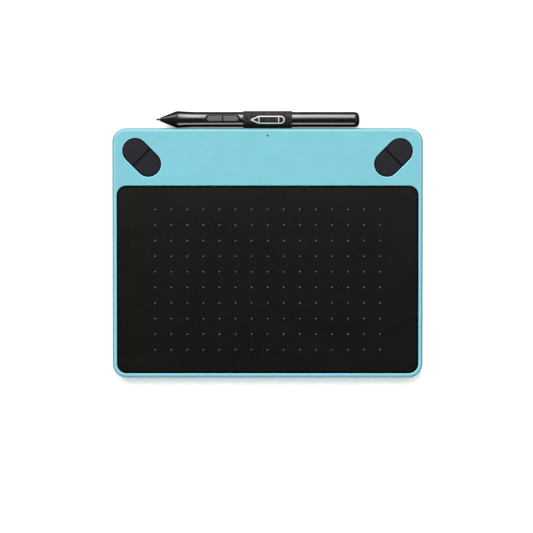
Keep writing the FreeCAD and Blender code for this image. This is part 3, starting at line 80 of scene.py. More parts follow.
class Finish:
    """A Principled material, with short calls for the node patterns that vary it.

    Patterns are laid in the object's own coordinates, so a size in them is a real size.
    """

    def __init__(self, name, colour, roughness, **sockets):
        self.material = bpy.data.materials.new(name)
        self.material.use_nodes = True
        self.nodes = self.material.node_tree.nodes
        self.links = self.material.node_tree.links
        self.shader = self.nodes["Principled BSDF"]
        self.colour = colour
        self.shader.inputs["Base Color"].default_value = colour
        self.shader.inputs["Roughness"].default_value = roughness
        for socket, value in sockets.items():
            self.shader.inputs[socket.replace("_", " ")].default_value = value
        coordinates = self.nodes.new("ShaderNodeTexCoord").outputs
        self.place = coordinates["Object"]
        self.facing = coordinates["Normal"]
        self.relief = None

    def add(self, kind, inputs=None, **settings):
        """A node with its settings, and its inputs linked or set."""
        node = self.nodes.new("ShaderNode" + kind)
        for name, value in settings.items():
            setattr(node, name, value)
        for key, value in (inputs or {}).items():
            socket = node.inputs[key]
            if isinstance(value, bpy.types.NodeSocket):
                self.links.new(value, socket)
            else:
                socket.default_value = value
        return node

    def stretched(self, along, across, upward):
        """The coordinates divided by a real length in each direction."""
        scale = (1 / along, 1 / across, 1 / upward)
        return self.add("Mapping", {"Vector": self.place, "Scale": scale}).outputs["Vector"]

    def noise(self, size, detail=2.0, roughness=0.5, vector=None):
        """Cloudy noise whose blobs are about that size."""
        place = vector or self.place
        inputs = {"Vector": place, "Scale": 1 / size, "Detail": detail, "Roughness": roughness}
        return self.add("TexNoise", inputs).outputs["Fac"]

    def streaks(self, along, across, upward, detail=2.0, roughness=0.5):
        """Noise drawn out to a real length in each direction."""
        return self.noise(1.0, detail, roughness, vector=self.stretched(along, across, upward))

    def cells(self, size):
        """Distance from the middle of the nearest of many cells, which are about that size."""
        return self.add("TexVoronoi", {"Vector": self.place, "Scale": 1 / size}).outputs["Distance"]

    def bands(self, scale):
        """Even bands that follow one another along X, about three for each millimetre at a scale of 1."""
        inputs = {"Vector": self.stretched(mm(1), 1.0, 1.0), "Scale": scale, "Distortion": 0.0}
        return self.add("TexWave", inputs, bands_direction="X").outputs["Fac"]

    def between(self, value, low, high, to_low=0.0, to_high=1.0):
        """A pattern's stretch from low to high, spread over another range."""
        inputs = {"Value": value, "From Min": low, "From Max": high, "To Min": to_low, "To Max": to_high}
        return self.add("MapRange", inputs).outputs["Result"]

    def around(self, value, rise, top, fall):
        """1 where the value is between the two numbers of top, fading to 0 at rise and at fall."""
        return self.maths("MULTIPLY", self.between(value, rise, top[0]), self.between(value, fall, top[1]))

    def upward(self):
        """1 on faces that face up, 0 on upright ones."""
        return self.add("SeparateXYZ", {"Vector": self.facing}).outputs["Z"]

    def rearward(self):
        """1 on faces that face the rear, -1 on those that face the drawer."""
        return self.add("SeparateXYZ", {"Vector": self.facing}).outputs["Y"]

    def maths(self, operation, first, second=0.0):
        """One step of arithmetic on numbers."""
        return self.add("Math", {0: first, 1: second}, operation=operation).outputs["Value"]

    def vector_maths(self, operation, first, second=(0, 0, 0), result="Vector"):
        """One step of arithmetic on vectors."""
        return self.add("VectorMath", {0: first, 1: second}, operation=operation).outputs[result]

    def blend_colour(self, factor, first, second):
        """One colour where the factor is 0, the other where it is 1."""
        node = self.add("Mix", data_type="RGBA")
        sockets = {"Factor": factor, "A": first, "B": second}
        for name, value in sockets.items():
            socket = [s for s in node.inputs if s.name == name and s.enabled][0]
            if isinstance(value, bpy.types.NodeSocket):
                self.links.new(value, socket)
            else:
                socket.default_value = value
        return [s for s in node.outputs if s.enabled][0]

    def inside_rounded(self, low, high, corner):
        """How far a point is inside a rectangle with round corners, seen from above."""
        from_middle = self.vector_maths("SUBTRACT", self.place, (low + high) / 2)
        folded = self.vector_maths("ABSOLUTE", from_middle)
        reach = (high - low) / 2 - Vector((corner, corner, 0))
        past = self.vector_maths("SUBTRACT", folded, reach)
        outer = self.vector_maths("MAXIMUM", past)
        flat = self.vector_maths("MULTIPLY", outer, (1, 1, 0))
        beyond = self.vector_maths("LENGTH", flat, result="Value")
        parts = self.add("SeparateXYZ", {"Vector": past}).outputs
        nearer = self.maths("MINIMUM", self.maths("MAXIMUM", parts["X"], parts["Y"]), 0.0)
        return self.maths("SUBTRACT", self.maths("SUBTRACT", corner, beyond), nearer)

    def link(self, value, socket):
        """Drives one of the shader's sockets by a pattern."""
        self.links.new(value, self.shader.inputs[socket])

    def paint(self, colour):
        """Drives the base colour, and remembers it for a later overpaint."""
        self.colour = colour
        self.link(colour, "Base Color")

    def overpaint(self, where, colour):
        """Blends another colour over the one that is there."""
        self.paint(self.blend_colour(where, self.colour, colour))

    def roughen(self, value):
        """Drives the roughness."""
        self.link(value, "Roughness")

    def bump(self, height, depth):
        """Adds relief, on top of any that is there."""
        inputs = {"Height": height, "Distance": depth, "Strength": 1.0}
        if self.relief is not None:
            inputs["Normal"] = self.relief
        self.relief = self.add("Bump", inputs).outputs["Normal"]
        self.link(self.relief, "Normal")

    def soften(self, radius):
        """Rounds the look of sharp edges. Called before any bump."""
        self.relief = self.add("Bevel", {"Radius": radius}, samples=4).outputs["Normal"]
        self.link(self.relief, "Normal")


def moulded(name, colour, roughness, grain=mm(0.16), depth=mm(0.004), edge=mm(0.12), **sockets):
    """Injection-moulded plastic: eroded grain, faint mottling and uneven gloss."""
    mottle, speck_strength = 0.03, 0.35
    finish = Finish(name, colour, roughness, **sockets)
    finish.soften(edge)
    cloud = finish.between(finish.noise(mm(14), detail=3.0), 0.35, 0.65)
    tone = finish.blend_colour(cloud, shade(colour, 1 - mottle), shade(colour, 1 + mottle))
    speck = finish.between(finish.noise(grain * 2.5, detail=1.0), 0.3, 0.7)
    faint_speck = finish.maths("MULTIPLY", speck, speck_strength)
    finish.paint(finish.blend_colour(faint_speck, tone, shade(colour, 1 + 2 * mottle)))
    smear = finish.noise(mm(5), detail=4.0, roughness=0.6)
    finish.roughen(finish.between(smear, 0.3, 0.7, roughness * 0.9, min(1.0, roughness * 1.12)))
    finish.bump(finish.cells(grain), depth)
    finish.bump(finish.noise(grain * 0.6, detail=2.0), depth * 0.6)
    return finish


TURQUOISE = srgb(100, 160, 171)
# painted highlight colour for the upper part of the case's outer rounding
PAINTED_HIGHLIGHT_TURQUOISE = srgb(122, 171, 181)
SHEET_BLACK = srgb(7, 7, 6)
KEY_BLACK = srgb(14, 14, 20)
PEN_SHEEN = (0.034, 0.034, 0.035, 1.0)
INNER_BLACK = srgb(40, 40, 42)


def shell_finish():
    """The case's top, with painted light and shade at its edges.

    Its outline and opening walls have painted shade; the rounding above it and the lips, painted highlights.
    """
    case_corner, rounding = mm(9.5), mm(2.33)
    finish = moulded("turquoise_plastic", TURQUOISE, 0.46, edge=mm(0.4), Specular_IOR_Level=0.22)
    upward = finish.upward()
    from_rim = finish.inside_rounded(*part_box("top_cover"), case_corner)
    opening = finish.maths("GREATER_THAN", from_rim, rounding)
    outline = finish.maths("SUBTRACT", 1.0, opening)
    not_front = finish.maths("MULTIPLY", outline, finish.between(finish.rearward(), -0.25, 0.05, 0.15, 1.0))
    painted_light_and_shade = (
        # painted highlight along the upper part of the outer rounding
        (outline, finish.around(upward, 0.86, (0.92, 0.99), 0.999), PAINTED_HIGHLIGHT_TURQUOISE),
        # painted shade on the steep outer rounding, weaker at the front
        (not_front, finish.around(upward, 0.1, (0.35, 0.72), 0.9), shade(TURQUOISE, 0.52)),
        # painted highlight on the rounded lips of the openings
        (opening, finish.around(upward, 0.2, (0.5, 0.96), 0.998), shade(TURQUOISE, 2.3)),
        # painted shade on the upright walls of the openings
        (opening, finish.between(upward, 0.4, 0.15), shade(TURQUOISE, 0.15)),
    )
    for place, slope, colour in painted_light_and_shade:
        finish.overpaint(finish.maths("MULTIPLY", place, slope), colour)
    return finish


def base_finish():
    """The base has a coarser grain than the top."""
    return moulded("turquoise_base_plastic", shade(TURQUOISE, 0.96), 0.5, grain=mm(0.3), depth=mm(0.012))


def sheet_finish():
    """The drawing sheet: a fine tooth, faint rubbed paths, grey grain and painted shade as a dark band along
    its edge.
    """
    shine, border_shine, corner = 0.16, 0.02, mm(6.5)
    finish = Finish("drawing_film", SHEET_BLACK, 0.28, Specular_IOR_Level=shine)
    finish.soften(mm(0.1))
    from_rim = finish.inside_rounded(*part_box("drawing_sheet"), corner)
    # painted shade: a darker, duller band along the sheet's edge, for the shaded gap round it
    shaded_border = finish.between(from_rim, mm(1.3), mm(1.0))
    grain = finish.noise(mm(0.22), detail=2.0)
    cloud = finish.between(finish.noise(mm(30), detail=4.0, roughness=0.55), 0.35, 0.65)
    tone = finish.blend_colour(cloud, shade(SHEET_BLACK, 0.9), shade(SHEET_BLACK, 1.15))
    grey_grain = finish.between(grain, 0.55, 0.8, 0, 0.5)
    film = finish.blend_colour(grey_grain, tone, shade(SHEET_BLACK, 2.2))
    # painted shade along the edge
    finish.paint(finish.blend_colour(shaded_border, film, shade(SHEET_BLACK, 0.3)))
    rubbed = finish.streaks(mm(40), mm(22), 1.0, detail=5.0, roughness=0.65)
    finish.roughen(finish.between(rubbed, 0.35, 0.7, 0.3, 0.26))
    finish.link(finish.between(shaded_border, 0.0, 1.0, shine, border_shine), "Specular IOR Level")
    finish.bump(finish.cells(mm(0.2)), mm(0.003))
    finish.bump(grain, mm(0.003))
    return finish


def key_finish():
    """The keys: satin tops, with their edges painted black and dulled as painted shade."""
    shine, shaded_edge_shine = 0.17, 0.02
    finish = moulded("key_plastic", KEY_BLACK, 0.36, grain=mm(0.14), Specular_IOR_Level=shine)
    # painted shade: the rounded edges are painted near black and lose their shine
    edge = finish.between(finish.upward(), 0.99, 0.9)
    finish.overpaint(edge, srgb(2, 2, 2))
    finish.link(finish.between(edge, 0.0, 1.0, shine, shaded_edge_shine), "Specular IOR Level")
    return finish


def inner_finish():
    return moulded("inner_plastic", INNER_BLACK, 0.5, grain=mm(0.25), depth=mm(0.006))


def rubber_finish():
    """Feet: soft black rubber with a dusty bloom and a pebbled tread."""
    colour = srgb(46, 47, 50)
    finish = Finish("foot_rubber", colour, 0.8, Specular_IOR_Level=0.3)
    finish.soften(mm(0.2))
    dust = finish.noise(mm(3), detail=6.0, roughness=0.7)
    finish.paint(finish.blend_colour(finish.between(dust, 0.45, 0.75, 0, 0.5), colour, srgb(92, 90, 86)))
    finish.bump(finish.cells(mm(0.5)), mm(0.03))
    finish.bump(finish.noise(mm(0.2)), mm(0.01))
    return finish


def lacquer(name, sheen, roughness, grain):
    """Satin black lacquer with painted shade on its sides, a fine haze and a few hairline marks."""
    finish = Finish(name, sheen, roughness, Metallic=0.93, Specular_Tint=(0.02, 0.02, 0.02, 1))
    haze = finish.noise(mm(6), detail=5.0, roughness=0.6)
    hairline = finish.streaks(mm(9), mm(0.12), mm(0.12))
    finish.paint(finish.blend_colour(finish.between(haze, 0.4, 0.7), shade(sheen, 0.92), shade(sheen, 1.1)))
    # painted shade: the sides, where the surface turns from the top, are painted almost black, which dims
    # their reflection too
    finish.overpaint(finish.between(finish.upward(), 0.73, 0.58), shade(sheen, 0.12))
    level = finish.between(haze, 0.3, 0.7, roughness * 0.9, roughness * 1.15)
    finish.roughen(finish.maths("ADD", level, finish.between(hairline, 0.62, 0.7, 0, 0.05)))
    finish.bump(finish.noise(grain, detail=2.0), mm(0.002))
    finish.bump(finish.between(hairline, 0.66, 0.72), mm(0.001))
    return finish


def barrel_finish():
    return lacquer("pen_barrel_lacquer", PEN_SHEEN, 0.13, grain=mm(0.25))


def cone_finish():
    """The nose cone: the barrel's lacquer over a finer, duller grain."""
    return lacquer("pen_cone_lacquer", shade(PEN_SHEEN, 0.8), 0.24, grain=mm(0.12))


def switch_finish():
    """The pen's rocker: grey, with painted shade as a black outline and a black groove between its halves."""
    shine, painted_shade_shine = 0.5, 0.01
    finish = moulded("side_switch_plastic", srgb(50, 50, 52), 0.38, grain=mm(0.12))
    low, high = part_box("pen_side_switch")
    across = finish.add("SeparateXYZ", {"Vector": finish.place}).outputs["X"]
    from_groove = finish.maths("ABSOLUTE", finish.maths("SUBTRACT", across, (low.x + high.x) / 2))
    from_edge = finish.inside_rounded(low, high, (high.y - low.y) / 2)
    groove = finish.between(from_groove, mm(0.5), mm(0.35))
    outline = finish.between(from_edge, mm(0.75), mm(0.5))
    # painted shade: the outline's gap and the groove between the halves are painted black and lose their
    # shine
    black = finish.maths("MAXIMUM", groove, outline)
    finish.overpaint(black, srgb(5, 5, 5))
    finish.link(finish.between(black, 0.0, 1.0, shine, painted_shade_shine), "Specular IOR Level")
    return finish


def nib_finish():
    return moulded("nib_acetal", srgb(22, 22, 24), 0.34, grain=mm(0.1), depth=mm(0.002))


def steel_finish(name, colour, roughness, lay=mm(6, 0.08, 0.08)):
    """Bright steel with its brushing along one direction."""
    finish = Finish(name, colour, roughness, Metallic=1.0)
    finish.soften(mm(0.06))
    lines = finish.streaks(*lay, detail=3.0)
    stain = finish.noise(mm(2.5), detail=5.0, roughness=0.65)
    finish.paint(finish.blend_colour(finish.between(stain, 0.35, 0.75), colour, shade(colour, 0.72)))
    finish.roughen(finish.between(lines, 0.3, 0.7, roughness * 0.8, min(1.0, roughness * 1.35)))
    finish.bump(lines, mm(0.003))
    return finish


def board_finish(name, mask, copper, bare):
    """Circuit board: coloured mask over copper runs, with bare pads and vias."""
    finish = Finish(name, mask, 0.3, Specular_IOR_Level=0.5)
    bricks = {
        "Vector": finish.stretched(mm(7), mm(2.4), 1.0),
        "Scale": 1.0,
        "Color1": (1, 1, 1, 1),
        "Color2": (0.8, 0.8, 0.8, 1),
        "Mortar": (0, 0, 0, 1),
        "Mortar Size": 0.09,
    }
    runs = finish.add("TexBrick", bricks).outputs["Color"]
    pads = finish.between(finish.cells(mm(3.2)), 0.16, 0.13)
    tone = finish.blend_colour(runs, mask, copper)
    finish.paint(finish.blend_colour(pads, tone, bare))
    finish.roughen(finish.between(finish.noise(mm(4), detail=3.0), 0.3, 0.7, 0.26, 0.38))
    finish.bump(runs, mm(0.02))
    return finish


def green_board_finish():
    return board_finish("circuit_board", srgb(18, 92, 58), srgb(40, 128, 82), srgb(214, 176, 92))


def pen_board_finish():
    """The pen's small board has a black mask, because it shows in the gap round the rocker."""
    return board_finish("pen_circuit_board", srgb(6, 6, 6), srgb(16, 16, 16), srgb(40, 38, 34))


def chip_finish():
    return moulded("chip_epoxy", srgb(34, 34, 36), 0.55, grain=mm(0.1), depth=mm(0.003))


def film_finish():
    """Amber polyimide film with the copper tracks showing through."""
    amber = srgb(196, 138, 58)
    finish = Finish("polyimide_film", amber, 0.3, Specular_IOR_Level=0.5)
    tracks = finish.bands(0.32)
    finish.paint(finish.blend_colour(finish.between(tracks, 0.35, 0.65), amber, srgb(156, 92, 40)))
    finish.bump(tracks, mm(0.02))
    finish.bump(finish.noise(mm(4), detail=3.0), mm(0.02))
    return finish


def copper_finish():
    """Enamelled wire, wound round the pen's axis."""
    copper = srgb(196, 108, 62)
    finish = Finish("copper_winding", copper, 0.32, Metallic=1.0)
    turns = finish.bands(1.6)
    finish.paint(finish.blend_colour(turns, shade(copper, 0.45), copper))
    finish.bump(turns, mm(0.06))
    return finish


def brass_finish():
    return steel_finish("gilt_brass", srgb(226, 186, 104), 0.26, lay=mm(0.1, 2, 0.1))


def ferrite_finish():
    """Dull grey ferrite with fine pits."""
    finish = Finish("ferrite", srgb(62, 62, 66), 0.55, Specular_IOR_Level=0.6)
    cloud = finish.between(finish.noise(mm(0.4), detail=4.0), 0.35, 0.7)
    finish.paint(finish.blend_colour(cloud, srgb(52, 52, 56), srgb(84, 84, 90)))
    finish.bump(finish.cells(mm(0.12)), mm(0.01))
    return finish


def acrylic_finish():
    """The light pipe, seen in its hole with the light off."""
    clearness = {"Transmission_Weight": 0.1, "Specular_IOR_Level": 0.1, "IOR": 1.49}
    finish = Finish("smoked_acrylic", srgb(3, 4, 4), 0.2, **clearness)
    finish.roughen(finish.between(finish.noise(mm(0.3), detail=3.0), 0.3, 0.7, 0.16, 0.3))
    finish.bump(finish.noise(mm(0.15)), mm(0.004))
    return finish


def webbing_finish():
    """Black webbing: a fine plain weave of slightly shiny yarn, with its loose fibres, painted sheen on its
    yarn crowns and painted shade on its sides and front.

    Its weave follows the cloth by the UV map, where one unit is one yarn.
    """
    dark, light = srgb(4, 4, 5), srgb(76, 76, 79)
    finish = Finish("black_webbing", dark, 0.6, Specular_IOR_Level=0.2)
    cloth = finish.add("UVMap", uv_map="weave").outputs["UV"]
    parts = finish.add("SeparateXYZ", {"Vector": cloth})
    across = finish.maths("SINE", finish.maths("MULTIPLY", parts.outputs["X"], math.pi))
    along = finish.maths("SINE", finish.maths("MULTIPLY", parts.outputs["Y"], math.pi))
    over = finish.maths("MULTIPLY", across, along)
    crown = finish.maths("ABSOLUTE", over)
    warp_up = finish.between(over, -0.2, 0.2)
    twist_inputs = {"Vector": cloth, "Scale": 1.9, "Distortion": 1.2}
    twist = finish.add("TexWave", twist_inputs, bands_direction="DIAGONAL").outputs["Fac"]
    fibre = finish.streaks(mm(0.5), mm(0.09), mm(0.09), detail=4.0, roughness=0.7)
    # painted sheen: lighter yarn crowns, in patches
    crown_sheen_mottle = finish.between(finish.noise(mm(1.3), detail=3.0, roughness=0.6), 0.38, 0.62, 0.1, 1.0)
    yarn = finish.blend_colour(finish.maths("MULTIPLY", crown, crown_sheen_mottle), dark, light)
    # painted sheen on the warp where it lies on top
    lit = finish.blend_colour(finish.maths("MULTIPLY", warp_up, 0.3), yarn, light)
    finish.paint(finish.blend_colour(finish.between(fibre, 0.62, 0.8, 0, 0.4), lit, srgb(90, 90, 94)))
    clump = finish.noise(mm(1.5), detail=4.0, roughness=0.6)
    finish.overpaint(finish.between(clump, 0.56, 0.42, 0, 0.9), dark)
    # painted shade where the loop turns away from the top
    finish.overpaint(finish.between(finish.upward(), 0.85, 0.1, 0, 0.75), dark)
    # painted shade on the part that faces the drawer
    finish.overpaint(finish.between(finish.rearward(), -0.1, -0.6, 0, 0.85), dark)
    finish.roughen(finish.between(crown, 0.0, 1.0, 0.78, 0.56))
    finish.link(finish.between(finish.upward(), 0.35, 0.8, 0.0, 0.2), "Specular IOR Level")
    finish.bump(crown, mm(0.09))
    finish.bump(twist, mm(0.02))
    finish.bump(fibre, mm(0.02))
    return finish


def print_finish(name, colour, roughness):
    """Screen-printed ink: slightly uneven in cover, with a pebbled surface."""
    finish = Finish(name, colour, roughness, Specular_IOR_Level=0.3)
    cover = finish.noise(mm(0.35), detail=3.0)
    finish.paint(finish.blend_colour(finish.between(cover, 0.25, 0.6), shade(colour, 0.82), colour))
    finish.bump(cover, mm(0.006))
    return finish


def label_finish():
    """A blank silver label with a fine satin grain."""
    silver = srgb(176, 180, 182)
    finish = Finish("blank_label", silver, 0.42, Metallic=0.35)
    grain = finish.streaks(mm(5), mm(0.1), 1.0)
    satin = finish.between(grain, 0.3, 0.7)
    finish.paint(finish.blend_colour(satin, shade(silver, 0.94), shade(silver, 1.04)))
    finish.roughen(finish.between(grain, 0.3, 0.7, 0.36, 0.5))
    finish.bump(grain, mm(0.002))
    return finish


def dress_nodes():
    """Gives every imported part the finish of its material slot, or one of its own.

    The slot of the webbing has none here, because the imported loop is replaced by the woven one.
    """
    makers = {
        "top_shell": shell_finish,
        "base_shell": base_finish,
        "draw_sheet": sheet_finish,
        "key_plastic": key_finish,
        "inner_plastic": inner_finish,
        "foot_rubber": rubber_finish,
        "screw_steel": lambda: steel_finish("screw_steel", srgb(150, 152, 155), 0.32, lay=mm(0.3, 0.3, 0.3)),
        "board_green": green_board_finish,
        "chip_epoxy": chip_finish,
        "shield_steel": lambda: steel_finish("shield_steel", srgb(196, 197, 198), 0.3),
        "socket_steel": lambda: steel_finish("socket_steel", srgb(188, 189, 190), 0.24),
        "contact_brass": brass_finish,
        "light_pipe": acrylic_finish,
        "film_tan": film_finish,
        "pen_plastic": barrel_finish,
        "pen_cone": cone_finish,
        "pen_switch": switch_finish,
        "nib_plastic": nib_finish,
        "ferrite": ferrite_finish,
        "copper_wire": copper_finish,
        "puller_steel": lambda: steel_finish("puller_steel", srgb(170, 171, 173), 0.25),
    }
    finishes = {slot: maker() for slot, maker in makers.items()}
    own_finishes = {"pen_board": pen_board_finish()}
    for entry in frame["record"]["subparts"]:
        node = entry["node"]
        finish = own_finishes.get(node) or finishes.get(entry["material_slot"])
        if finish:
            materials = NODES[node].data.materials
            materials.clear()
            materials.append(finish.material)


# --------------------------------------------------------------------------------------------------
# Pieces
# --------------------------------------------------------------------------------------------------

def piece(name, points, faces, finish, smooth=True):
    """A mesh piece that rides on the tablet."""
    mesh = bpy.data.meshes.new(name)
    mesh.from_pydata([tuple(p) for p in points], [], faces)
    mesh.validate()
    mesh.update()
    if smooth:
        mesh.shade_smooth()
    made = bpy.data.objects.new(name, mesh)
    bpy.context.scene.collection.objects.link(made)
    made.data.materials.append(finish.material)
    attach(made, "tablet")
    return made


LOOP_LOW, LOOP_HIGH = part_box("pen_loop")
LOOP_OUTER = (LOOP_HIGH.z - LOOP_LOW.z) / 2
LOOP_AXIS = Vector((0, LOOP_HIGH.y - LOOP_OUTER, (LOOP_HIGH.z + LOOP_LOW.z) / 2))
CLOTH = mm(0.5)  # thickness of the webbing
CLOTH_STEP = mm(0.3)  # distance between the points of its mesh
YARN = mm(0.42)  # width of one yarn of its weave
CASE_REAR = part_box("top_cover")[1].y
SLOT_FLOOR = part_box("loop_clamp_left")[1].z


def tangent(point, radius):
    """Where a straight run from a point touches a circle round the origin, on its upper side.

    It is the angle of that place from the -Y axis, upwards.
    """
    away = math.atan2(point[1], -point[0])
    return away + math.acos(radius / math.hypot(*point))


def loop_path():
    """The webbing's middle line in the YZ plane, from one end of its tail round the pen to the other.

    Points are (y, z) from the pen's axis, one about every CLOTH_STEP.
    """
    inside_cad, off_floor, between_tails = mm(0.04), mm(0.02), mm(0.05)
    radius = LOOP_OUTER - CLOTH / 2 - inside_cad
    mouth = CASE_REAR - LOOP_AXIS.y
    tail = LOOP_LOW.y - LOOP_AXIS.y
    lower = SLOT_FLOOR + CLOTH / 2 + off_floor - LOOP_AXIS.z
    upper = lower + CLOTH + between_tails
    rise = tangent((mouth, upper), radius)
    fall = tangent((mouth, -lower), radius)
    corners = [(tail, upper), (mouth, upper)]
    turns = 60
    for k in range(turns + 1):
        angle = math.pi - rise - (2 * math.pi - rise - fall) * k / turns
        corners.append((radius * math.cos(angle), radius * math.sin(angle)))
    corners += [(mouth, lower), (tail, lower)]
    return relaxed(evenly(corners, CLOTH_STEP), passes=6)


def evenly(corners, step):
    """Points along a run of straight pieces, about a step apart."""
    spans = [math.dist(a, b) for a, b in zip(corners, corners[1:])]
    total = sum(spans)
    count = max(2, round(total / step))
    points, index, passed = [], 0, 0.0
    for k in range(count + 1):
        goal = total * k / count
        while index < len(spans) - 1 and passed + spans[index] < goal:
            passed += spans[index]
            index += 1
        share = (goal - passed) / spans[index]
        start, end = corners[index], corners[index + 1]
        points.append(tuple(a + (b - a) * share for a, b in zip(start, end)))
    return points


def relaxed(points, passes):
    """The same points with their kinks eased, as stiff cloth eases them."""
    for _ in range(passes):
        inner = [
            tuple((a + 2 * b + c) / 4 for a, b, c in zip(before, point, after))
            for before, point, after in zip(points, points[1:], points[2:])
        ]
        points = [points[0], *inner, points[-1]]
    return points


LOOP_PATH = loop_path()
LOOP_LENGTH = sum(math.dist(a, b) for a, b in zip(LOOP_PATH, LOOP_PATH[1:]))
PATH_STEP = LOOP_LENGTH / (len(LOOP_PATH) - 1)


def on_loop(x, along, lift):
    """A point on the webbing: x across it, a distance along its middle line, and a lift off that line."""
    place = along / PATH_STEP
    index = min(max(int(place), 0), len(LOOP_PATH) - 2)
    share = place - index
    here, there = LOOP_PATH[index], LOOP_PATH[index + 1]
    run_y, run_z = there[0] - here[0], there[1] - here[1]
    run = math.dist(here, there)
    outward = Vector((0, -run_z / run, run_y / run))
    middle = Vector((x, LOOP_AXIS.y + here[0] + run_y * share, LOOP_AXIS.z + here[1] + run_z * share))
    return middle + outward * lift


def path_normals(path):
    """The outward direction at each point of the loop's middle line."""
    normals = []
    for k in range(len(path)):
        before, after = path[max(k - 1, 0)], path[min(k + 1, len(path) - 1)]
        run = math.dist(before, after)
        normals.append((-(after[1] - before[1]) / run, (after[0] - before[0]) / run))
    return normals


def webbing(finish):
    """The woven loop: one closed sheet with ribbed selvedges.

    Its edges waver and its surface is slightly uneven, in waves whose lengths differ, so that none repeats.
    """
    width = LOOP_HIGH.x - LOOP_LOW.x
    columns = round(width / CLOTH_STEP)
    selvedge, rib, rounded_edge = mm(1.1), mm(0.02), mm(0.3)
    margin, trimmed, waver, unevenness = mm(0.08), 2 * mm(0.13), mm(0.05), mm(0.03)
    ring = []
    for side in (1, -1):
        for k in range(columns + 1):
            share = k / columns if side > 0 else 1 - k / columns
            ring.append((share, side))
    points, weave = [], []
    normals = path_normals(LOOP_PATH)
    travelled = 0.0
    for k, ((y, z), (out_y, out_z)) in enumerate(zip(LOOP_PATH, normals)):
        if k:
            travelled += math.dist(LOOP_PATH[k - 1], LOOP_PATH[k])
        inset = waver * math.sin(travelled / mm(4.1))
        for share, side in ring:
            x = LOOP_LOW.x + inset + margin + (width - trimmed) * share
            edge = min(x - LOOP_LOW.x, LOOP_HIGH.x - x)
            thick = CLOTH / 2 * (1 - 0.5 * max(0.0, 1 - edge / rounded_edge) ** 2)
            if edge < selvedge:
                thick += rib * math.sin(math.pi * edge / selvedge)
            sway = unevenness * math.sin(x / mm(5.3) + travelled / mm(7)) * math.sin(travelled / mm(3.9))
            reach = side * thick + sway
            points.append((x, LOOP_AXIS.y + y + out_y * reach, LOOP_AXIS.z + z + out_z * reach))
            weave.append((x / YARN, travelled / YARN))
    size = len(ring)
    faces = []
    last_row = (len(LOOP_PATH) - 1) * size
    for row in range(0, last_row, size):
        for k in range(size):
            after = (k + 1) % size
            faces.append((row + k, row + after, row + size + after, row + size + k))
    for start, flip in ((0, False), (last_row, True)):
        for k in range(columns):
            face = (start + k, start + k + 1, start + size - 2 - k, start + size - 1 - k)
            faces.append(face if flip else face[::-1])
    made = piece("pen_loop_webbing", points, faces, finish)
    layer = made.data.uv_layers.new(name="weave")
    for loop in made.data.loops:
        layer.data[loop.index].uv = weave[loop.vertex_index]
    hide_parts("pen_loop")


def ribbon(path, half_width, closed):
    """Left and right edge points of a stroke along a flat path of (x, along) points."""
    left, right = [], []
    count = len(path)
    for k, (x, along) in enumerate(path):
        before = path[(k - 1) % count] if closed or k else path[k]
        after = path[(k + 1) % count] if closed or k < count - 1 else path[k]
        run_x, run_along = after[0] - before[0], after[1] - before[1]
        run = math.hypot(run_x, run_along) or 1.0
        shift_x, shift_along = run_along / run * half_width, run_x / run * half_width
        left.append((x - shift_x, along + shift_along))
        right.append((x + shift_x, along - shift_along))
    return left, right


def stroke(points, faces, path, half_width, closed=False):
    """Adds a raised printed stroke on the webbing to a mesh's points and faces."""
    sunk, raised = mm(0.02), mm(0.07)
    low, high = CLOTH / 2 - sunk, CLOTH / 2 + raised
    left, right = ribbon(path, half_width, closed)
    base = len(points)
    for one, other in zip(left, right):
        points += [on_loop(*one, low), on_loop(*one, high), on_loop(*other, high), on_loop(*other, low)]
    count = len(path)
    last = count if closed else count - 1
    for k in range(last):
        here, there = base + 4 * k, base + 4 * ((k + 1) % count)
        for side in range(4):
            following = (side + 1) % 4
            faces.append((here + side, here + following, there + following, there + side))
    if not closed:
        end = base + 4 * (count - 1)
        faces.append((base, base + 3, base + 2, base + 1))
        faces.append((end, end + 1, end + 2, end + 3))


def loop_mark(finish):
    """A generic pen outline, printed on the loop above the pen."""
    crown = min(range(len(LOOP_PATH)), key=lambda k: abs(LOOP_PATH[k][0]) - LOOP_PATH[k][1])
    before_crown = mm(0.6)
    middle = crown * PATH_STEP - before_crown
    half_length, half_height, nose, cap = mm(11.1), mm(2.25), mm(5.2), mm(3.6)
    half_line, half_bar, step, turns = mm(0.3), mm(0.3) * 0.8, mm(0.4), 12
    shoulder, tail = nose - half_length, half_length - half_height
    outline = [(-half_length, 0.0), (shoulder, half_height), (tail, half_height)]
    for k in range(1, turns):
        angle = math.pi * k / turns
        outline.append((tail + half_height * math.sin(angle), half_height * math.cos(angle)))
    outline += [(tail, -half_height), (shoulder, -half_height), (-half_length, 0.0)]
    points, faces = [], []
    placed = [(x, middle + along) for x, along in evenly(outline, step)[:-1]]
    stroke(points, faces, placed, half_line, closed=True)
    for x in (shoulder, half_length - cap):
        bar = [(x, middle + along) for _, along in evenly([(0, -half_height), (0, half_height)], step)]
        stroke(points, faces, bar, half_bar)
    piece("loop_mark", points, faces, finish, smooth=False)


def prism(points, faces, outline, bottom, top):
    """Adds a closed upright prism over a flat outline to a mesh's points and faces."""
    base, count = len(points), len(outline)
    points += [(x, y, level) for level in (bottom, top) for x, y in outline]
    faces.append(tuple(base + k for k in reversed(range(count))))
    faces.append(tuple(base + count + k for k in range(count)))
    for k in range(count):
        after = (k + 1) % count
        faces.append((base + k, base + after, base + count + after, base + count + k))


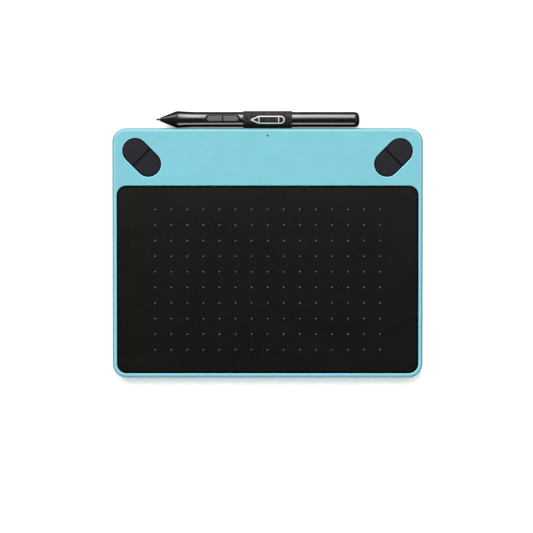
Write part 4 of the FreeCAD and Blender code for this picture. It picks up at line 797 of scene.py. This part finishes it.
def printed_dots(finish):
    """The grid of small dots that marks the pen area on the drawing sheet."""
    low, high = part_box("drawing_sheet")
    columns, rows = 15, 10
    area_width, area_depth = mm(152), mm(94.9)
    radius, rise, sides = mm(0.35), mm(0.015), 16
    angles = [2 * math.pi * k / sides for k in range(sides)]
    centre_x, centre_y = (low.x + high.x) / 2, (low.y + high.y) / 2
    points, faces = [], []
    for column in range(columns):
        for row in range(rows):
            x = centre_x + area_width * (column / (columns - 1) - 0.5)
            y = centre_y + area_depth * (row / (rows - 1) - 0.5)
            dot = [(x + radius * math.cos(angle), y + radius * math.sin(angle)) for angle in angles]
            prism(points, faces, dot, high.z - rise, high.z + rise)
    piece("printed_dots", points, faces, finish, smooth=False)


def rounded_outline(low, high, radius):
    """Points round a rectangle with round corners."""
    steps = 8
    points = []
    corners = (
        (high[0] - radius, high[1] - radius, 0),
        (low[0] + radius, high[1] - radius, 90),
        (low[0] + radius, low[1] + radius, 180),
        (high[0] - radius, low[1] + radius, 270),
    )
    for x, y, start in corners:
        for k in range(steps + 1):
            angle = math.radians(start + 90 * k / steps)
            points.append((x + radius * math.cos(angle), y + radius * math.sin(angle)))
    return points


def base_label(finish):
    """The blank label in its recess under the base."""
    case_low, case_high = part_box("bottom_cover")
    forward = mm(20)
    middle_y = (case_low.y + case_high.y) / 2 - forward
    half_width, half_depth, corner = mm(34.2), mm(14.2), mm(1.5)
    recess_depth, thickness, stuck_in = mm(0.3), mm(0.12), mm(0.02)
    low, high = (-half_width, middle_y - half_depth), (half_width, middle_y + half_depth)
    recess = case_low.z + recess_depth
    points, faces = [], []
    prism(points, faces, rounded_outline(low, high, corner), recess - thickness, recess + stuck_in)
    piece("blank_base_label", points, faces, finish, smooth=False)


# --------------------------------------------------------------------------------------------------
# Studio
# --------------------------------------------------------------------------------------------------

CAMERA_DISTANCE = 1.3
CAMERA_LEAN = math.radians(1.4)
SEEN_WIDTH = mm(361.6)
AIM_LEFT, AIM_FORWARD, AIM_HEIGHT = mm(0.75, 9.15, 5)

FLOOR_GLOW = 0.3
# The sky's light as (place, level) stops. A place is a direction's Z, or its Y towards the rear, from 0 to 1.
SKY_BY_HEIGHT = ((0.0, 0.06), (0.35, 0.15), (0.7, 0.35), (1.0, 0.15))
SKY_BY_REAR = ((0.0, 0.0), (0.45, 0.0), (0.75, 1.2), (1.0, 1.4))


def camera():
    """Looks down through a long lens, leaning a little from the pen's side towards the drawer's side."""
    low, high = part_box("top_cover")
    middle = (low + high) / 2
    target = Vector((middle.x - AIM_LEFT, middle.y - AIM_FORWARD, AIM_HEIGHT))
    data = bpy.data.cameras.new("camera")
    data.sensor_width = 36
    data.lens = data.sensor_width * CAMERA_DISTANCE / SEEN_WIDTH
    made = bpy.data.objects.new("camera", data)
    made.location = target + Vector((0, math.sin(CAMERA_LEAN), math.cos(CAMERA_LEAN))) * CAMERA_DISTANCE
    made.rotation_euler = (-CAMERA_LEAN, 0, 0)
    bpy.context.scene.collection.objects.link(made)
    bpy.context.scene.camera = made


def softbox(name, lean, bearing, height, width, radiance, distance=2.4):
    """A rectangle of even light that faces the frame's origin.

    lean is its angle from straight up and bearing its direction, from the rear round to the right.
    height and width are the angles that it spans. All four are degrees.
    """
    lean, bearing = math.radians(lean), math.radians(bearing)
    away = Vector((math.sin(bearing) * math.sin(lean), math.cos(bearing) * math.sin(lean), math.cos(lean)))
    data = bpy.data.lights.new(name, "AREA")
    data.shape = "RECTANGLE"
    data.size = 2 * distance * math.tan(math.radians(width / 2))
    data.size_y = 2 * distance * math.tan(math.radians(height / 2))
    data.energy = radiance * math.pi * data.size * data.size_y
    made = bpy.data.objects.new(name, data)
    made.location = away * distance
    made.rotation_euler = (-lean, 0, -bearing)
    made.visible_camera = False
    bpy.context.scene.collection.objects.link(made)


def floor():
    """A pale, glowing table top."""
    colour = srgb(232, 232, 232)
    finish = Finish("studio_floor", colour, 0.7, Specular_IOR_Level=0.1, Emission_Strength=FLOOR_GLOW)
    finish.shader.inputs["Emission Color"].default_value = colour
    haze = finish.noise(0.4, detail=2.0)
    finish.paint(finish.blend_colour(haze, shade(colour, 0.99), colour))
    half = 4.0
    corners = [(-half, -half, 0), (half, -half, 0), (half, half, 0), (-half, half, 0)]
    mesh = bpy.data.meshes.new("studio_floor")
    mesh.from_pydata(corners, [], [(0, 1, 2, 3)])
    mesh.materials.append(finish.material)
    made = bpy.data.objects.new("studio_floor", mesh)
    bpy.context.scene.collection.objects.link(made)


def sky():
    """Dim light from all round, strongest half way up, with a bright glow low behind the tablet."""
    world = bpy.data.worlds.new("studio_sky")
    bpy.context.scene.world = world
    world.use_nodes = True
    nodes, links = world.node_tree.nodes, world.node_tree.links
    way = nodes.new("ShaderNodeTexCoord").outputs["Generated"]
    split = nodes.new("ShaderNodeSeparateXYZ")
    links.new(way, split.inputs["Vector"])
    levels = []
    for axis, stops in (("Z", SKY_BY_HEIGHT), ("Y", SKY_BY_REAR)):
        ramp = nodes.new("ShaderNodeValToRGB")
        links.new(split.outputs[axis], ramp.inputs["Fac"])
        while len(ramp.color_ramp.elements) < len(stops):
            ramp.color_ramp.elements.new(0.5)
        for element, (place, level) in zip(ramp.color_ramp.elements, stops):
            element.position = place
            element.color = (level, level, level, 1)
        levels.append(ramp.outputs["Color"])
    total = nodes.new("ShaderNodeVectorMath")
    total.operation = "ADD"
    for k, level in enumerate(levels):
        links.new(level, total.inputs[k])
    links.new(total.outputs["Vector"], nodes["Background"].inputs["Color"])
    nodes["Background"].inputs["Strength"].default_value = 1.0


def studio():
    """A pale floor, softboxes behind, over, beside and low in front of the tablet, and a dim sky."""
    floor()
    softbox("rear_softbox", lean=51.5, bearing=0, height=47, width=8.5, radiance=19.0, distance=5.0)
    softbox("rear_left_softbox", lean=68, bearing=-40, height=22, width=24, radiance=9.0)
    softbox("high_softbox", lean=18, bearing=0, height=18, width=80, radiance=2.7, distance=0.8)
    softbox("left_softbox", lean=26, bearing=-90, height=20, width=70, radiance=1.2)
    softbox("right_softbox", lean=26, bearing=90, height=20, width=70, radiance=1.2)
    softbox("front_softbox", lean=70, bearing=180, height=24, width=12, radiance=10.0)
    sky()
    bpy.context.scene.view_settings.view_transform = "Standard"


camera()
studio()
dress_nodes()
webbing(webbing_finish())
loop_mark(print_finish("white_print", srgb(208, 208, 206), 0.55))
printed_dots(print_finish("turquoise_print", srgb(69, 132, 136), 0.5))
base_label(label_finish())
